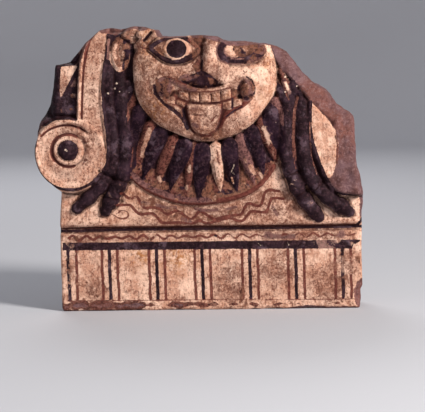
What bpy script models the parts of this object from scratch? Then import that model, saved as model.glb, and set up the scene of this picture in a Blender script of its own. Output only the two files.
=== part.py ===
"""Antefix: a moulded roof-edge plaque of fired clay with a gorgoneion mask, broken along its top and right.

Units are metres, +Z is up and the relief faces -Y. The origin is at the centre of the base's underside.
The complete relief is joined first, then cut back to the broken outline that is left, as the real one was.
"""

import math
import random

import bmesh
import bpy
from mathutils import Matrix, Vector

NAME = "antefix"

# The plaque
BASE_WIDTH = 0.250
BASE_HEIGHT = 0.0656
RELIEF_HEIGHT = 0.172
BODY_DEPTH = 0.040
GROOVE_HEIGHT = 0.004
GROOVE_DEPTH = 0.0035

# The mask
FACE_WIDTH = 0.1205
FACE_HEIGHT = 0.111
FACE_RELIEF = 0.021
FACE_EDGE_RELIEF = 0.0075
EYE_WIDTH = 0.041
EYE_HEIGHT = 0.0215
EYE_LID_RADIUS = 0.0014
IRIS_RADIUS = 0.0084
TOOTH_HEIGHT = 0.0078
TOOTH_GAP = 0.0007
MOUTH_DEPTH = 0.0075
LIP_RADIUS = 0.0021
LIP_CORNER_RADIUS = 0.0082
TONGUE_WIDTH = 0.0290
TONGUE_LENGTH = 0.0290
TONGUE_THICKNESS = 0.0080
EAR_WIDTH = 0.0135
EAR_HEIGHT = 0.0265
EAR_RELIEF = 0.0085
EAR_RIM_RADIUS = 0.0018
BROW_RADIUS = 0.0048
BROW_RELIEF = 0.0115

# The hair
BEARD_RING_RADIUS = 0.100
BEARD_RING_THICKNESS = 0.0019
BEARD_PAD_RELIEF = 0.0018
HAIR_PAD_RELIEF = 0.0045
LOCK_FLATNESS = 0.80
STRAND_BEAD = 0.10
STRAND_BEAD_PITCH = 0.0135

# The side ornament
VOLUTE_RADIUS = 0.0300
VOLUTE_RELIEF = 0.0085
VOLUTE_RIM_RADIUS = 0.0017
VOLUTE_BOSS_RADIUS = 0.0088
VOLUTE_BOSS_RELIEF = 0.0046
BAND_RELIEF = 0.0070
BAND_RIM_RADIUS = 0.0016
LEAF_RELIEF = 0.0025
STUMP_RELIEF = 0.0075

# The stub of the half-round cover tile behind, cut off flat
TILE_WIDTH = 0.170
TILE_WALL = 0.020
TILE_LENGTH = 0.036

# The break
BREAK_SLOPE = 0.14
BREAK_SLOPE_DEPTH = 0.016
BREAK_ROUGHNESS = 0.0022
BREAK_SEED = 7
SCAR_DEPTH = 0.0026
CHIP_RADIUS = 0.0090

# Modelling allowances
FRONT = -BODY_DEPTH / 2
BACK = BODY_DEPTH / 2
EMBED = 0.006
REACH = 0.050
CUT_MARGIN = 0.020

# The relief is drawn in metres on a field of this size: x from the base's middle, h above the base's top
DRAWN_WIDTH = 0.250
DRAWN_HEIGHT = 0.172

FACE_CENTRE = (-0.0020, 0.1305)
LEFT_EYE = (-0.0248, 0.1515)
RIGHT_EYE = (0.0280, 0.1495)
LEFT_IRIS = (-0.0233, 0.1525)
# Points of the nose, each with its lift above the mask's dome
NOSE_BRIDGE = [
    (-0.0055, 0.1690, 0.0010), (0.0035, 0.1690, 0.0010), (-0.0060, 0.1480, 0.0030),
    (0.0030, 0.1480, 0.0030), (-0.0065, 0.1330, 0.0065), (0.0030, 0.1330, 0.0065),
    (-0.0080, 0.1690, -0.0060), (0.0060, 0.1690, -0.0060), (-0.0110, 0.1330, -0.0060),
    (0.0075, 0.1330, -0.0060),
]
NOSE_TIP = [
    (-0.0060, 0.1345, 0.0066), (0.0025, 0.1345, 0.0066), (-0.0195, 0.1265, 0.0012),
    (0.0135, 0.1260, 0.0012), (-0.0170, 0.1215, 0.0008), (0.0110, 0.1210, 0.0008),
    (-0.0090, 0.1240, 0.0052), (0.0045, 0.1238, 0.0052), (-0.0195, 0.1265, -0.0060),
    (0.0135, 0.1260, -0.0060), (-0.0100, 0.1385, -0.0060), (0.0060, 0.1385, -0.0060),
]
UPPER_LIP = [(-0.0340, 0.1255), (-0.0190, 0.1215), (0.0000, 0.1185), (0.0170, 0.1205), (0.0300, 0.1240)]
LOWER_LIP = [
    (0.0355, 0.1150), (0.0300, 0.1060), (0.0200, 0.0990), (0.0080, 0.0945),
    (-0.0100, 0.0950), (-0.0220, 0.1000), (-0.0330, 0.1070), (-0.0390, 0.1150),
]
LIP_CORNERS = [(-0.0355, 0.1225), (0.0325, 0.1200)]
TEETH_EDGES = [-0.0310, -0.0235, -0.0139, -0.0060, 0.0038, 0.0121, 0.0207, 0.0275]
TEETH_TOP = 0.1155
TEETH_CURVE = 6.0
TUSKS = [(-0.0265, 0.1075), (0.0255, 0.1068), (0.0170, 0.1060)]
TONGUE_TOP = (-0.0030, 0.1090)
EAR_CENTRE = (-0.0722, 0.1478)
BROW = [(-0.0560, 0.1570), (-0.0460, 0.1605), (-0.0340, 0.1640)]

# Locks of hair and beard: root x, root h, tip x, tip h, half width
LOCKS = [
    (-0.0625, 0.1330, -0.0674, 0.1065, 0.0048),
    (-0.0620, 0.1123, -0.0645, 0.0880, 0.0038),
    (-0.0540, 0.1085, -0.0606, 0.0740, 0.0050),
    (-0.0480, 0.0960, -0.0586, 0.0557, 0.0044),
    (-0.0365, 0.0905, -0.0538, 0.0464, 0.0056),
    (-0.0285, 0.0865, -0.0406, 0.0412, 0.0045),
    (-0.0175, 0.0830, -0.0315, 0.0361, 0.0068),
    (-0.0125, 0.0790, -0.0173, 0.0384, 0.0040),
    (-0.0035, 0.0790, -0.0084, 0.0274, 0.0060),
    (0.0050, 0.0780, 0.0092, 0.0347, 0.0046),
    (0.0165, 0.0810, 0.0225, 0.0361, 0.0062),
    (0.0250, 0.0850, 0.0391, 0.0417, 0.0045),
    (0.0345, 0.0905, 0.0442, 0.0482, 0.0058),
    (0.0415, 0.0965, 0.0568, 0.0580, 0.0045),
    (0.0485, 0.1060, 0.0594, 0.0640, 0.0062),
    (0.0530, 0.1120, 0.0607, 0.0935, 0.0038),
    (0.0590, 0.1215, 0.0673, 0.0940, 0.0050),
    (0.0610, 0.1290, 0.0680, 0.1130, 0.0030),
]
# Shares of a lock's length, and its half width at each
LOCK_STATIONS = (0.0, 0.3, 0.6, 0.85, 1.0)
LOCK_TAPER = (0.92, 1.05, 1.0, 0.72, 0.36)
LOCK_TIP_LIFT = 0.3

# Long strands: the points of each centre line, then its half width
STRANDS = [
    ([(-0.0815, 0.1450), (-0.0833, 0.1190), (-0.0822, 0.0940), (-0.0787, 0.0735), (-0.0795, 0.0560),
      (-0.0850, 0.0435), (-0.0947, 0.0320), (-0.1085, 0.0225)], 0.0060),
    ([(-0.0725, 0.1330), (-0.0727, 0.1110), (-0.0692, 0.0900), (-0.0680, 0.0690), (-0.0700, 0.0525),
      (-0.0740, 0.0400), (-0.0806, 0.0280), (-0.0868, 0.0190)], 0.0064),
    ([(0.0718, 0.1235), (0.0672, 0.1080), (0.0640, 0.0920), (0.0628, 0.0710), (0.0650, 0.0545),
      (0.0689, 0.0405), (0.0765, 0.0280), (0.0890, 0.0140)], 0.0063),
    ([(0.0789, 0.1140), (0.0778, 0.1000), (0.0755, 0.0835), (0.0765, 0.0670), (0.0798, 0.0520),
      (0.0856, 0.0387), (0.0945, 0.0285), (0.1130, 0.0155)], 0.0061),
]
THIN_STRAND = [
    (0.0835, 0.1090), (0.0842, 0.0875), (0.0858, 0.0710),
    (0.0908, 0.0544), (0.0969, 0.0410), (0.1020, 0.0345),
]
THIN_STRAND_RADIUS = 0.0020
STRAND_STEPS = 26

# Low pads that the strands lie on, left and right, and the upper corners of the pad under the beard
HAIR_PADS = [
    [
        (-0.0900, 0.1520), (-0.0600, 0.1520), (-0.0560, 0.1000),
        (-0.0540, 0.0520), (-0.0700, 0.0400), (-0.0890, 0.0540),
    ],
    [
        (0.0540, 0.1300), (0.0740, 0.1240), (0.0870, 0.1120), (0.0925, 0.0560),
        (0.0985, 0.0400), (0.0760, 0.0360), (0.0600, 0.0520),
    ],
]
BEARD_PAD_CORNERS = [(0.0680, 0.1200), (-0.0700, 0.1350)]

# The band's left and right edges from the top down, and the leaf beside it
BAND_LEFT = [
    (-0.0930, 0.1700), (-0.0985, 0.1540), (-0.1015, 0.1395),
    (-0.1046, 0.1175), (-0.1063, 0.0960), (-0.1075, 0.0850),
]
BAND_RIGHT = [
    (-0.0790, 0.1700), (-0.0850, 0.1415), (-0.0873, 0.1200),
    (-0.0866, 0.0980), (-0.0848, 0.0860), (-0.0838, 0.0670),
]
LEAF = [(-0.1300, 0.1420), (-0.1080, 0.1410), (-0.1205, 0.1140), (-0.1300, 0.1110)]
# The spiral rim of the volute, from where the band's right edge meets it, round the bottom, in degrees
VOLUTE_SWEEP = (8, -285)
VOLUTE_CURL = 0.16

# The stump of the lost volute on the right, and scars on it
STUMP = [
    (0.0835, 0.1090), (0.0700, 0.1270), (0.0590, 0.1420), (0.0580, 0.1650), (0.1400, 0.1650),
    (0.1400, 0.0275), (0.1225, 0.0285), (0.1165, 0.0285), (0.1125, 0.0305), (0.1030, 0.0315),
    (0.0975, 0.0420), (0.0915, 0.0550), (0.0858, 0.0720), (0.0842, 0.0880),
]
SCARS = [
    (0.1160, 0.0830), (0.1180, 0.0560), (0.1130, 0.0370),
    (0.0980, 0.1080), (0.0840, 0.1250), (0.0700, 0.1420),
]
SCAR_RADIUS = 0.036
CHIP_CENTRE = (0.1290, -0.0540)

VOLUTE_CENTRE = (-0.1142, 0.0670)
BOSS_CENTRE = (-0.1156, 0.0700)
VOLUTE_ARC = (238, 152)
VOLUTE_ARC_STEPS = 12
BEARD_RING_CENTRE = (-0.0050, 0.1250)
BEARD_RING_SWEEP = (213, 323)
NOTCH = (-0.1235, 0.0350)

# The broken edge, clockwise from the volute's upper left to the right end of the base's top
BROKEN_EDGE = [
    (-0.1428, 0.0850), (-0.1412, 0.0915), (-0.1374, 0.0985), (-0.1334, 0.1060), (-0.1278, 0.1250),
    (-0.1257, 0.1406), (-0.1203, 0.1415),
    (-0.1140, 0.1423), (-0.1041, 0.1542), (-0.0875, 0.1682), (-0.0796, 0.1700), (-0.0713, 0.1685),
    (-0.0590, 0.1720), (-0.0505, 0.1702), (-0.0414, 0.1682), (-0.0391, 0.1630), (-0.0308, 0.1619),
    (-0.0043, 0.1627), (0.0081, 0.1614), (0.0130, 0.1584), (0.0311, 0.1571), (0.0484, 0.1551),
    (0.0575, 0.1523), (0.0656, 0.1477), (0.0729, 0.1388), (0.0785, 0.1307), (0.0883, 0.1226),
    (0.0980, 0.1163), (0.1070, 0.1043), (0.1184, 0.0962), (0.1208, 0.0924), (0.1216, 0.0742),
    (0.1224, 0.0555), (0.1256, 0.0435), (0.1275, 0.0268), (0.1268, 0.0144),
]

CLAY = (0.52, 0.36, 0.25, 1.0)
CLAY_ROUGHNESS = 0.85
SHARP_ANGLE = math.radians(38)


def clear_scene():
    for old in list(bpy.data.objects):
        bpy.data.objects.remove(old, do_unlink=True)


def new_collection(name):
    made = bpy.data.collections.new(name)
    bpy.context.scene.collection.children.link(made)
    return made


def place(x, h, proud=0.0):
    """A point of the drawing, `proud` metres in front of the field."""
    across = x * BASE_WIDTH / DRAWN_WIDTH
    up = BASE_HEIGHT + h * RELIEF_HEIGHT / DRAWN_HEIGHT
    return Vector((across, FRONT - proud, up))


def face_share(x, h):
    """0 at the middle of the mask, 1 at its rim."""
    spot, middle = place(x, h), place(*FACE_CENTRE)
    return math.hypot((spot.x - middle.x) / (FACE_WIDTH / 2), (spot.z - middle.z) / (FACE_HEIGHT / 2))


def on_face(x, h, lift=0.0):
    """A point of the drawing on the mask's dome, `lift` metres above its surface."""
    swell = math.sqrt(max(0.0, 1.0 - face_share(x, h) ** 2))
    return place(x, h, FACE_EDGE_RELIEF + (FACE_RELIEF - FACE_EDGE_RELIEF) * swell + lift)


def ellipse(centre, width, height, steps):
    """Points round an ellipse in the drawing's plane, as (x, z)."""
    middle = place(*centre)
    turns = [math.tau * step / steps for step in range(steps)]
    return [(middle.x + width / 2 * math.cos(turn), middle.z + height / 2 * math.sin(turn)) for turn in turns]


def smooth_path(points, count):
    """`count` points spaced along a Catmull-Rom curve through the given ones."""
    ends = [points[0] * 2 - points[1], *points, points[-1] * 2 - points[-2]]
    path = []
    for step in range(count):
        along = step / (count - 1) * (len(points) - 1)
        leg = min(int(along), len(points) - 2)
        t = along - leg
        a, b, c, d = ends[leg:leg + 4]
        bend = (2 * a - 5 * b + 4 * c - d) * t ** 2 + (3 * b - a - 3 * c + d) * t ** 3
        path.append((2 * b + (c - a) * t + bend) / 2)
    return path


def add_guide(name, mesh, collection):
    """An object that is only joined into the body or cuts it."""
    made = bpy.data.objects.new(name, mesh)
    collection.objects.link(made)
    made.hide_render = True
    made.display_type = "WIRE"
    return made


def mesh_from(name, bm):
    bmesh.ops.recalc_face_normals(bm, faces=bm.faces)
    mesh = bpy.data.meshes.new(name)
    bm.to_mesh(mesh)
    bm.free()
    mesh.shade_smooth()
    mesh.set_sharp_from_angle(angle=SHARP_ANGLE)
    return mesh


def solid_from_curve(name, curve, collection):
    """Turns a curve into a closed mesh whose caps are welded on."""
    drawn = bpy.data.objects.new(name, curve)
    collection.objects.link(drawn)
    bpy.context.view_layer.update()
    evaluated = drawn.evaluated_get(bpy.context.evaluated_depsgraph_get())
    bm = bmesh.new()
    bm.from_mesh(bpy.data.meshes.new_from_object(evaluated))
    bpy.data.objects.remove(drawn, do_unlink=True)
    bmesh.ops.remove_doubles(bm, verts=bm.verts, dist=0.00002)
    return add_guide(name, mesh_from(name, bm), collection)


def tube(name, points, radii, collection, closed=False, resolution=2, flatness=1.0):
    """A bar through the points with a radius at each, pressed towards the field by `flatness`."""
    curve = bpy.data.curves.new(name, "CURVE")
    curve.dimensions = "3D"
    curve.bevel_depth = 1.0
    curve.bevel_resolution = resolution
    curve.use_fill_caps = not closed
    spline = curve.splines.new("POLY")
    spline.points.add(len(points) - 1)
    spline.use_cyclic_u = closed
    for knot, point, radius in zip(spline.points, points, radii):
        knot.co = (*point, 1.0)
        knot.radius = radius
    made = solid_from_curve(name, curve, collection)
    to_field = Matrix.Translation((0.0, FRONT, 0.0))
    made.data.transform(to_field @ Matrix.Diagonal((1.0, flatness, 1.0, 1.0)) @ to_field.inverted())
    return made


def plate(name, outline, front, back, collection):
    """A flat outline of (x, z) points made solid from `front` to `back` along Y."""
    curve = bpy.data.curves.new(name, "CURVE")
    curve.dimensions = "2D"
    curve.fill_mode = "BOTH"
    curve.extrude = (back - front) / 2
    spline = curve.splines.new("POLY")
    spline.points.add(len(outline) - 1)
    spline.use_cyclic_u = True
    for knot, (x, z) in zip(spline.points, outline):
        knot.co = (x, z, 0.0, 1.0)
    made = solid_from_curve(name, curve, collection)
    upright = Matrix.Rotation(math.radians(90), 4, "X")
    made.data.transform(Matrix.Translation((0.0, (front + back) / 2, 0.0)) @ upright)
    return made


def raised_plate(name, drawn, relief, collection):
    """A plate of drawn points that stands `relief` in front of the field."""
    spots = [place(x, h) for x, h in drawn]
    return plate(name, [(spot.x, spot.z) for spot in spots], FRONT - relief, FRONT + EMBED, collection)


def dome(name, centre, radii, collection, segments=16, rings=10):
    bm = bmesh.new()
    bmesh.ops.create_uvsphere(bm, u_segments=segments, v_segments=rings, radius=1.0)
    shape = Matrix.Translation(centre) @ Matrix.Diagonal((*radii, 1.0))
    bmesh.ops.transform(bm, matrix=shape, verts=bm.verts)
    return add_guide(name, mesh_from(name, bm), collection)


def box(name, low, high, collection):
    bm = bmesh.new()
    bmesh.ops.create_cube(bm, size=1.0)
    low, high = Vector(low), Vector(high)
    shape = Matrix.Translation((low + high) / 2) @ Matrix.Diagonal((*(high - low), 1.0))
    bmesh.ops.transform(bm, matrix=shape, verts=bm.verts)
    return add_guide(name, mesh_from(name, bm), collection)


def hull(name, points, collection):
    """The convex solid round a few points."""
    bm = bmesh.new()
    for point in points:
        bm.verts.new(point)
    made = bmesh.ops.convex_hull(bm, input=bm.verts)
    bmesh.ops.delete(bm, geom=list(set(made["geom_interior"] + made["geom_unused"])), context="VERTS")
    return add_guide(name, mesh_from(name, bm), collection)


def bevel(target, width, segments=1):
    step = target.modifiers.new("Bevel", "BEVEL")
    step.width = width
    step.segments = segments
    step.limit_method = "ANGLE"
    step.angle_limit = math.radians(40)


def boolean(target, operation, operand, solver="EXACT"):
    step = target.modifiers.new(f"{operation.title()} {operand.name}", "BOOLEAN")
    step.operation = operation
    step.solver = solver
    step.object = operand


def make_face(forms, cutters):
    """The mask's dome on its upright edge, with the open mouth sunk into it."""
    middle = place(*FACE_CENTRE)
    edge = ellipse(FACE_CENTRE, FACE_WIDTH * 0.998, FACE_HEIGHT * 0.998, 44)
    plate("face_edge", edge, FRONT - FACE_EDGE_RELIEF - 0.0001, FRONT + EMBED, forms)
    swell = FACE_RELIEF - FACE_EDGE_RELIEF
    centre = Vector((middle.x, FRONT - FACE_EDGE_RELIEF, middle.z))
    head = dome("face", centre, (FACE_WIDTH / 2, swell, FACE_HEIGHT / 2), forms, segments=44, rings=22)
    opening = [place(x, h) for x, h in UPPER_LIP + LOWER_LIP]
    floor_of_mouth = FRONT - FACE_RELIEF + MOUTH_DEPTH
    cut = plate("mouth", [(spot.x, spot.z) for spot in opening], FRONT - REACH, floor_of_mouth, cutters)
    boolean(head, "DIFFERENCE", cut)


def make_eye(name, centre, forms):
    """An almond lid line round a bulging eyeball."""
    x, h = centre
    rim = []
    for step in range(20):
        turn = math.tau * step / 20
        pinch = math.copysign(abs(math.sin(turn)) ** 1.15, math.sin(turn))
        rim.append(on_face(x + EYE_WIDTH / 2 * math.cos(turn), h + EYE_HEIGHT / 2 * pinch, 0.0002))
    tube(f"{name}_lid", rim, [EYE_LID_RADIUS] * len(rim), forms, closed=True, resolution=1)
    dome(f"{name}_ball", on_face(x, h, -0.0020), (EYE_WIDTH * 0.40, 0.0050, EYE_HEIGHT * 0.44), forms)


def make_nose(forms):
    for name, points in (("nose_bridge", NOSE_BRIDGE), ("nose_tip", NOSE_TIP)):
        made = hull(name, [on_face(x, h, lift) for x, h, lift in points], forms)
        bevel(made, 0.0012)


def make_teeth(forms):
    """A curved row of upper teeth, and the tusks and lower tooth beside the tongue."""
    for index, (left, right) in enumerate(zip(TEETH_EDGES, TEETH_EDGES[1:])):
        middle = (left + right) / 2
        top = TEETH_TOP + TEETH_CURVE * middle ** 2
        low, high = place(left, top), place(right, top)
        front = on_face(middle, top).y + LIP_RADIUS * 0.4
        tooth = box(
            f"tooth_{index}",
            (low.x + TOOTH_GAP / 2, front, low.z - TOOTH_HEIGHT),
            (high.x - TOOTH_GAP / 2, front + MOUTH_DEPTH * 1.5, high.z),
            forms,
        )
        bevel(tooth, 0.0009)
    for index, (x, h) in enumerate(TUSKS):
        dome(f"tusk_{index}", on_face(x, h, -0.0030), (0.0034, 0.0050, 0.0048), forms, 10, 6)


def make_tongue(forms):
    """A broad round-ended tongue that hangs out over the chin and leans back with it."""
    x, h = TONGUE_TOP
    half = TONGUE_WIDTH / 2
    outline = [(-half * 0.96, 0.0)]
    for step in range(13):
        turn = math.pi * (1 + step / 12)
        across = math.copysign(abs(math.cos(turn)) ** 0.75, math.cos(turn))
        outline.append((half * across, (half - TONGUE_LENGTH) + half * math.sin(turn)))
    outline.append((half * 0.96, 0.0))
    made = plate("tongue", outline, -TONGUE_THICKNESS / 2, TONGUE_THICKNESS / 2, forms)
    upper, lower = on_face(x, h), on_face(x, h - TONGUE_LENGTH * 0.8)
    lean = math.atan2(lower.y - upper.y, upper.z - lower.z)
    made.data.transform(Matrix.Translation(upper) @ Matrix.Rotation(lean, 4, "X"))
    bevel(made, 0.0022, segments=2)


def make_mouth(forms):
    upper = smooth_path([on_face(x, h) for x, h in UPPER_LIP], 9)
    tube("upper_lip", upper, [LIP_RADIUS] * len(upper), forms, resolution=1)
    lower = smooth_path([on_face(x, h, -0.0004) for x, h in LOWER_LIP], 15)
    tube("lower_lip", lower, [LIP_RADIUS] * len(lower), forms, resolution=1)
    for side, (x, h) in zip(("left", "right"), LIP_CORNERS):
        radii = (LIP_CORNER_RADIUS, 0.0052, LIP_CORNER_RADIUS)
        dome(f"lip_corner_{side}", on_face(x, h, -0.0016), radii, forms, 14, 8)
    make_teeth(forms)
    make_tongue(forms)


def make_ear_and_brow(forms):
    outline = ellipse(EAR_CENTRE, EAR_WIDTH, EAR_HEIGHT, 16)
    plate("ear", outline, FRONT - EAR_RELIEF, FRONT + EMBED, forms)
    rim = [Vector((x, FRONT - EAR_RELIEF, z)) for x, z in outline]
    tube("ear_rim", rim, [EAR_RIM_RADIUS] * len(rim), forms, closed=True, resolution=1)
    brow = [place(x, h, BROW_RELIEF - BROW_RADIUS) for x, h in BROW]
    tube("brow", brow, [BROW_RADIUS] * len(brow), forms)


def make_beard(forms):
    """The locks round the face and the ring that their tips rest on."""
    for index, (root_x, root_h, tip_x, tip_h, half) in enumerate(LOCKS):
        root = place(root_x, root_h, BEARD_PAD_RELIEF)
        tip = place(tip_x, tip_h, BEARD_PAD_RELIEF * LOCK_TIP_LIFT)
        path = [root.lerp(tip, share) for share in LOCK_STATIONS]
        radii = [half * share for share in LOCK_TAPER]
        tube(f"lock_{index:02d}", path, radii, forms, flatness=LOCK_FLATNESS)
    middle = place(*BEARD_RING_CENTRE)
    first, last = (math.radians(angle) for angle in BEARD_RING_SWEEP)
    ring = []
    for step in range(17):
        turn = first + (last - first) * step / 16
        across, up = BEARD_RING_RADIUS * math.cos(turn), BEARD_RING_RADIUS * math.sin(turn)
        ring.append(Vector((middle.x + across, FRONT - BEARD_RING_THICKNESS * 0.7, middle.z + up)))
    tube("beard_ring", ring, [BEARD_RING_THICKNESS] * len(ring), forms, resolution=1)
    corners = [place(x, h) for x, h in BEARD_PAD_CORNERS]
    pad = [(spot.x, spot.z) for spot in ring + corners]
    plate("beard_pad", pad, FRONT - BEARD_PAD_RELIEF, FRONT + EMBED, forms)


def make_strands(forms):
    """The long beaded strands that frame the mask."""
    for side, pad in zip(("left", "right"), HAIR_PADS):
        raised_plate(f"hair_pad_{side}", pad, HAIR_PAD_RELIEF, forms)
    for index, (drawn, half) in enumerate(STRANDS):
        path = smooth_path([place(x, h, half * 0.5) for x, h in drawn], STRAND_STEPS)
        length = sum((b - a).length for a, b in zip(path, path[1:]))
        radii = []
        for step in range(STRAND_STEPS):
            share = step / (STRAND_STEPS - 1)
            bead = 1.0 + STRAND_BEAD * math.cos(math.tau * share * length / STRAND_BEAD_PITCH)
            taper = min(1.0, 0.50 + 5.0 * (1.0 - share), 0.70 + 4.0 * share)
            radii.append(half * bead * taper)
        tube(f"strand_{index}", path, radii, forms)
    thin = smooth_path([place(x, h, STUMP_RELIEF) for x, h in THIN_STRAND], 10)
    tube("thin_strand", thin, [THIN_STRAND_RADIUS] * len(thin), forms, resolution=1)


def make_side_band(forms):
    """The upright band above the volute, with a rim along its left edge, and the leaf beside it."""
    raised_plate("band", BAND_LEFT + BAND_RIGHT[::-1], BAND_RELIEF, forms)
    left = [place(x, h, BAND_RELIEF) for x, h in BAND_LEFT]
    tube("band_rim", left, [BAND_RIM_RADIUS] * len(left), forms, resolution=1)
    raised_plate("leaf", LEAF, LEAF_RELIEF, forms)


def make_volute(forms):
    """The disc at the band's foot, its boss, and the rim that curls round it from the band."""
    middle = place(*VOLUTE_CENTRE)
    disc = ellipse(VOLUTE_CENTRE, VOLUTE_RADIUS * 2.04, VOLUTE_RADIUS * 2.04, 40)
    plate("volute", disc, FRONT - VOLUTE_RELIEF, FRONT + EMBED, forms)
    rim = [place(x, h, BAND_RELIEF) for x, h in BAND_RIGHT[:-2]]
    first, last = VOLUTE_SWEEP
    for step in range(31):
        share = step / 30
        turn = math.radians(first + (last - first) * share)
        curl = 1.0 - VOLUTE_CURL * max(0.0, (share - 0.65) / 0.35)
        radius = (VOLUTE_RADIUS - VOLUTE_RIM_RADIUS * 0.5) * curl
        across, up = radius * math.cos(turn), radius * math.sin(turn)
        rim.append(Vector((middle.x + across, FRONT - VOLUTE_RELIEF, middle.z + up)))
    tube("volute_rim", rim, [VOLUTE_RIM_RADIUS] * len(rim), forms, resolution=1)
    boss = place(*BOSS_CENTRE, VOLUTE_RELIEF)
    dome("volute_boss", boss, (VOLUTE_BOSS_RADIUS, VOLUTE_BOSS_RELIEF, VOLUTE_BOSS_RADIUS), forms)


def outline_left():
    """What is left of the plaque: (x, z, brokenness), clockwise from the base's lower left."""
    half = BASE_WIDTH / 2
    volute, notch = place(*VOLUTE_CENTRE), place(*NOTCH)
    points = [(-half, -CUT_MARGIN, 0.0), (-half, BASE_HEIGHT, 0.0), (notch.x, notch.z, 0.0)]
    first, last = VOLUTE_ARC
    for step in range(VOLUTE_ARC_STEPS + 1):
        turn = math.radians(first + (last - first) * step / VOLUTE_ARC_STEPS)
        x, z = volute.x + VOLUTE_RADIUS * math.cos(turn), volute.z + VOLUTE_RADIUS * math.sin(turn)
        points.append((x, z, 0.15))
    for x, h in BROKEN_EDGE:
        spot = place(x, h)
        points.append((spot.x, spot.z, 1.0))
    points += [(half, BASE_HEIGHT + 2 * GROOVE_HEIGHT, 0.0), (half, -CUT_MARGIN, 0.0)]
    return points


def make_remains(guides):
    """The envelope that the break left: upright at sound edges, rough and sloping back at broken ones."""
    points = outline_left()
    draw = random.Random(BREAK_SEED)
    slope_back = FRONT + BREAK_SLOPE_DEPTH
    depths = [
        FRONT - REACH, FRONT - REACH / 2, FRONT - 0.006, FRONT + 0.005,
        slope_back, BACK - 0.008, BACK + CUT_MARGIN,
    ]
    bm = bmesh.new()
    rings = []
    for depth in depths:
        ring = []
        for index, (x, z, broken) in enumerate(points):
            before_x, before_z, _ = points[index - 1]
            after_x, after_z, _ = points[(index + 1) % len(points)]
            inward = Vector((after_z - before_z, 0.0, before_x - after_x)).normalized()
            set_back = BREAK_SLOPE * max(0.0, slope_back - depth)
            rough = draw.uniform(0.0, 1.0) * BREAK_ROUGHNESS
            ring.append(bm.verts.new(Vector((x, depth, z)) + inward * broken * (set_back + rough)))
        rings.append(ring)
    bm.faces.new(rings[0])
    bm.faces.new(rings[-1])
    for near, far in zip(rings, rings[1:]):
        for index in range(len(points)):
            after = (index + 1) % len(points)
            bm.faces.new((near[index], near[after], far[after], far[index]))
    return add_guide("remains", mesh_from("remains", bm), guides)


def make_tile_stub(guides, inner_cutters):
    """The half-round cover tile, hollow below, whose end the plaque closed."""
    middle = Matrix.Translation((0.0, BACK + (TILE_LENGTH - EMBED) / 2, 0.0))
    lie = middle @ Matrix.Rotation(math.radians(90), 4, "X")
    made = []
    for name, radius, length, collection in (
        ("tile_stub", TILE_WIDTH / 2, TILE_LENGTH + EMBED, guides),
        ("tile_hollow", TILE_WIDTH / 2 - TILE_WALL, TILE_LENGTH * 3, inner_cutters),
    ):
        bm = bmesh.new()
        bmesh.ops.create_cone(bm, cap_ends=True, segments=56, radius1=radius, radius2=radius, depth=length)
        bmesh.ops.transform(bm, matrix=lie, verts=bm.verts)
        made.append(add_guide(name, mesh_from(name, bm), collection))
    stub, hollow = made
    boolean(stub, "DIFFERENCE", hollow)
    return stub


def make_cutters(cutters):
    """The groove, the scars and chip of the break, and the ground that the underside is cut on."""
    wide = BASE_WIDTH + RELIEF_HEIGHT
    groove_low = (-wide, FRONT - REACH, BASE_HEIGHT)
    groove_high = (wide, FRONT + GROOVE_DEPTH, BASE_HEIGHT + GROOVE_HEIGHT)
    box("groove", groove_low, groove_high, cutters)
    for index, (x, h) in enumerate(SCARS):
        centre = place(x, h, STUMP_RELIEF - SCAR_DEPTH + SCAR_RADIUS)
        bm = bmesh.new()
        bmesh.ops.create_icosphere(bm, subdivisions=3, radius=SCAR_RADIUS)
        tilt = Matrix.Rotation(index, 4, "Y") @ Matrix.Rotation(index * 0.7, 4, "X")
        bmesh.ops.transform(bm, matrix=Matrix.Translation(centre) @ tilt, verts=bm.verts)
        add_guide(f"scar_{index}", mesh_from("scar", bm), cutters)
    x, h = CHIP_CENTRE
    dome("chip", place(x, h), (CHIP_RADIUS, CHIP_RADIUS * 0.9, CHIP_RADIUS * 1.5), cutters, 10, 7)
    box("ground", (-wide, -wide, -TILE_WIDTH), (wide, wide, 0.0), cutters)


def clay_material():
    material = bpy.data.materials.new("painted_terracotta")
    material.use_nodes = True
    shader = material.node_tree.nodes["Principled BSDF"]
    shader.inputs["Base Color"].default_value = CLAY
    shader.inputs["Roughness"].default_value = CLAY_ROUGHNESS
    shader.inputs["Metallic"].default_value = 0.0
    return material


def make_antefix(collection, forms, remains, stub, cutters):
    """Joins the relief to its slab, then breaks, extends and cuts it.

    EXACT leaves pinched edges where so many forms meet on the field, so these steps use MANIFOLD."""
    wide = BASE_WIDTH / 2 + RELIEF_HEIGHT / 4
    tall = BASE_HEIGHT + RELIEF_HEIGHT * 1.2
    body = box(NAME, (-wide, FRONT, -CUT_MARGIN / 2), (wide, BACK, tall), collection)
    body.hide_render = False
    body.display_type = "TEXTURED"
    body.data.materials.append(clay_material())
    for form in forms.objects:
        boolean(body, "UNION", form, "MANIFOLD")
    boolean(body, "INTERSECT", remains, "MANIFOLD")
    boolean(body, "UNION", stub, "MANIFOLD")
    for cutter in cutters.objects:
        boolean(body, "DIFFERENCE", cutter, "MANIFOLD")
    return body


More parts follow.
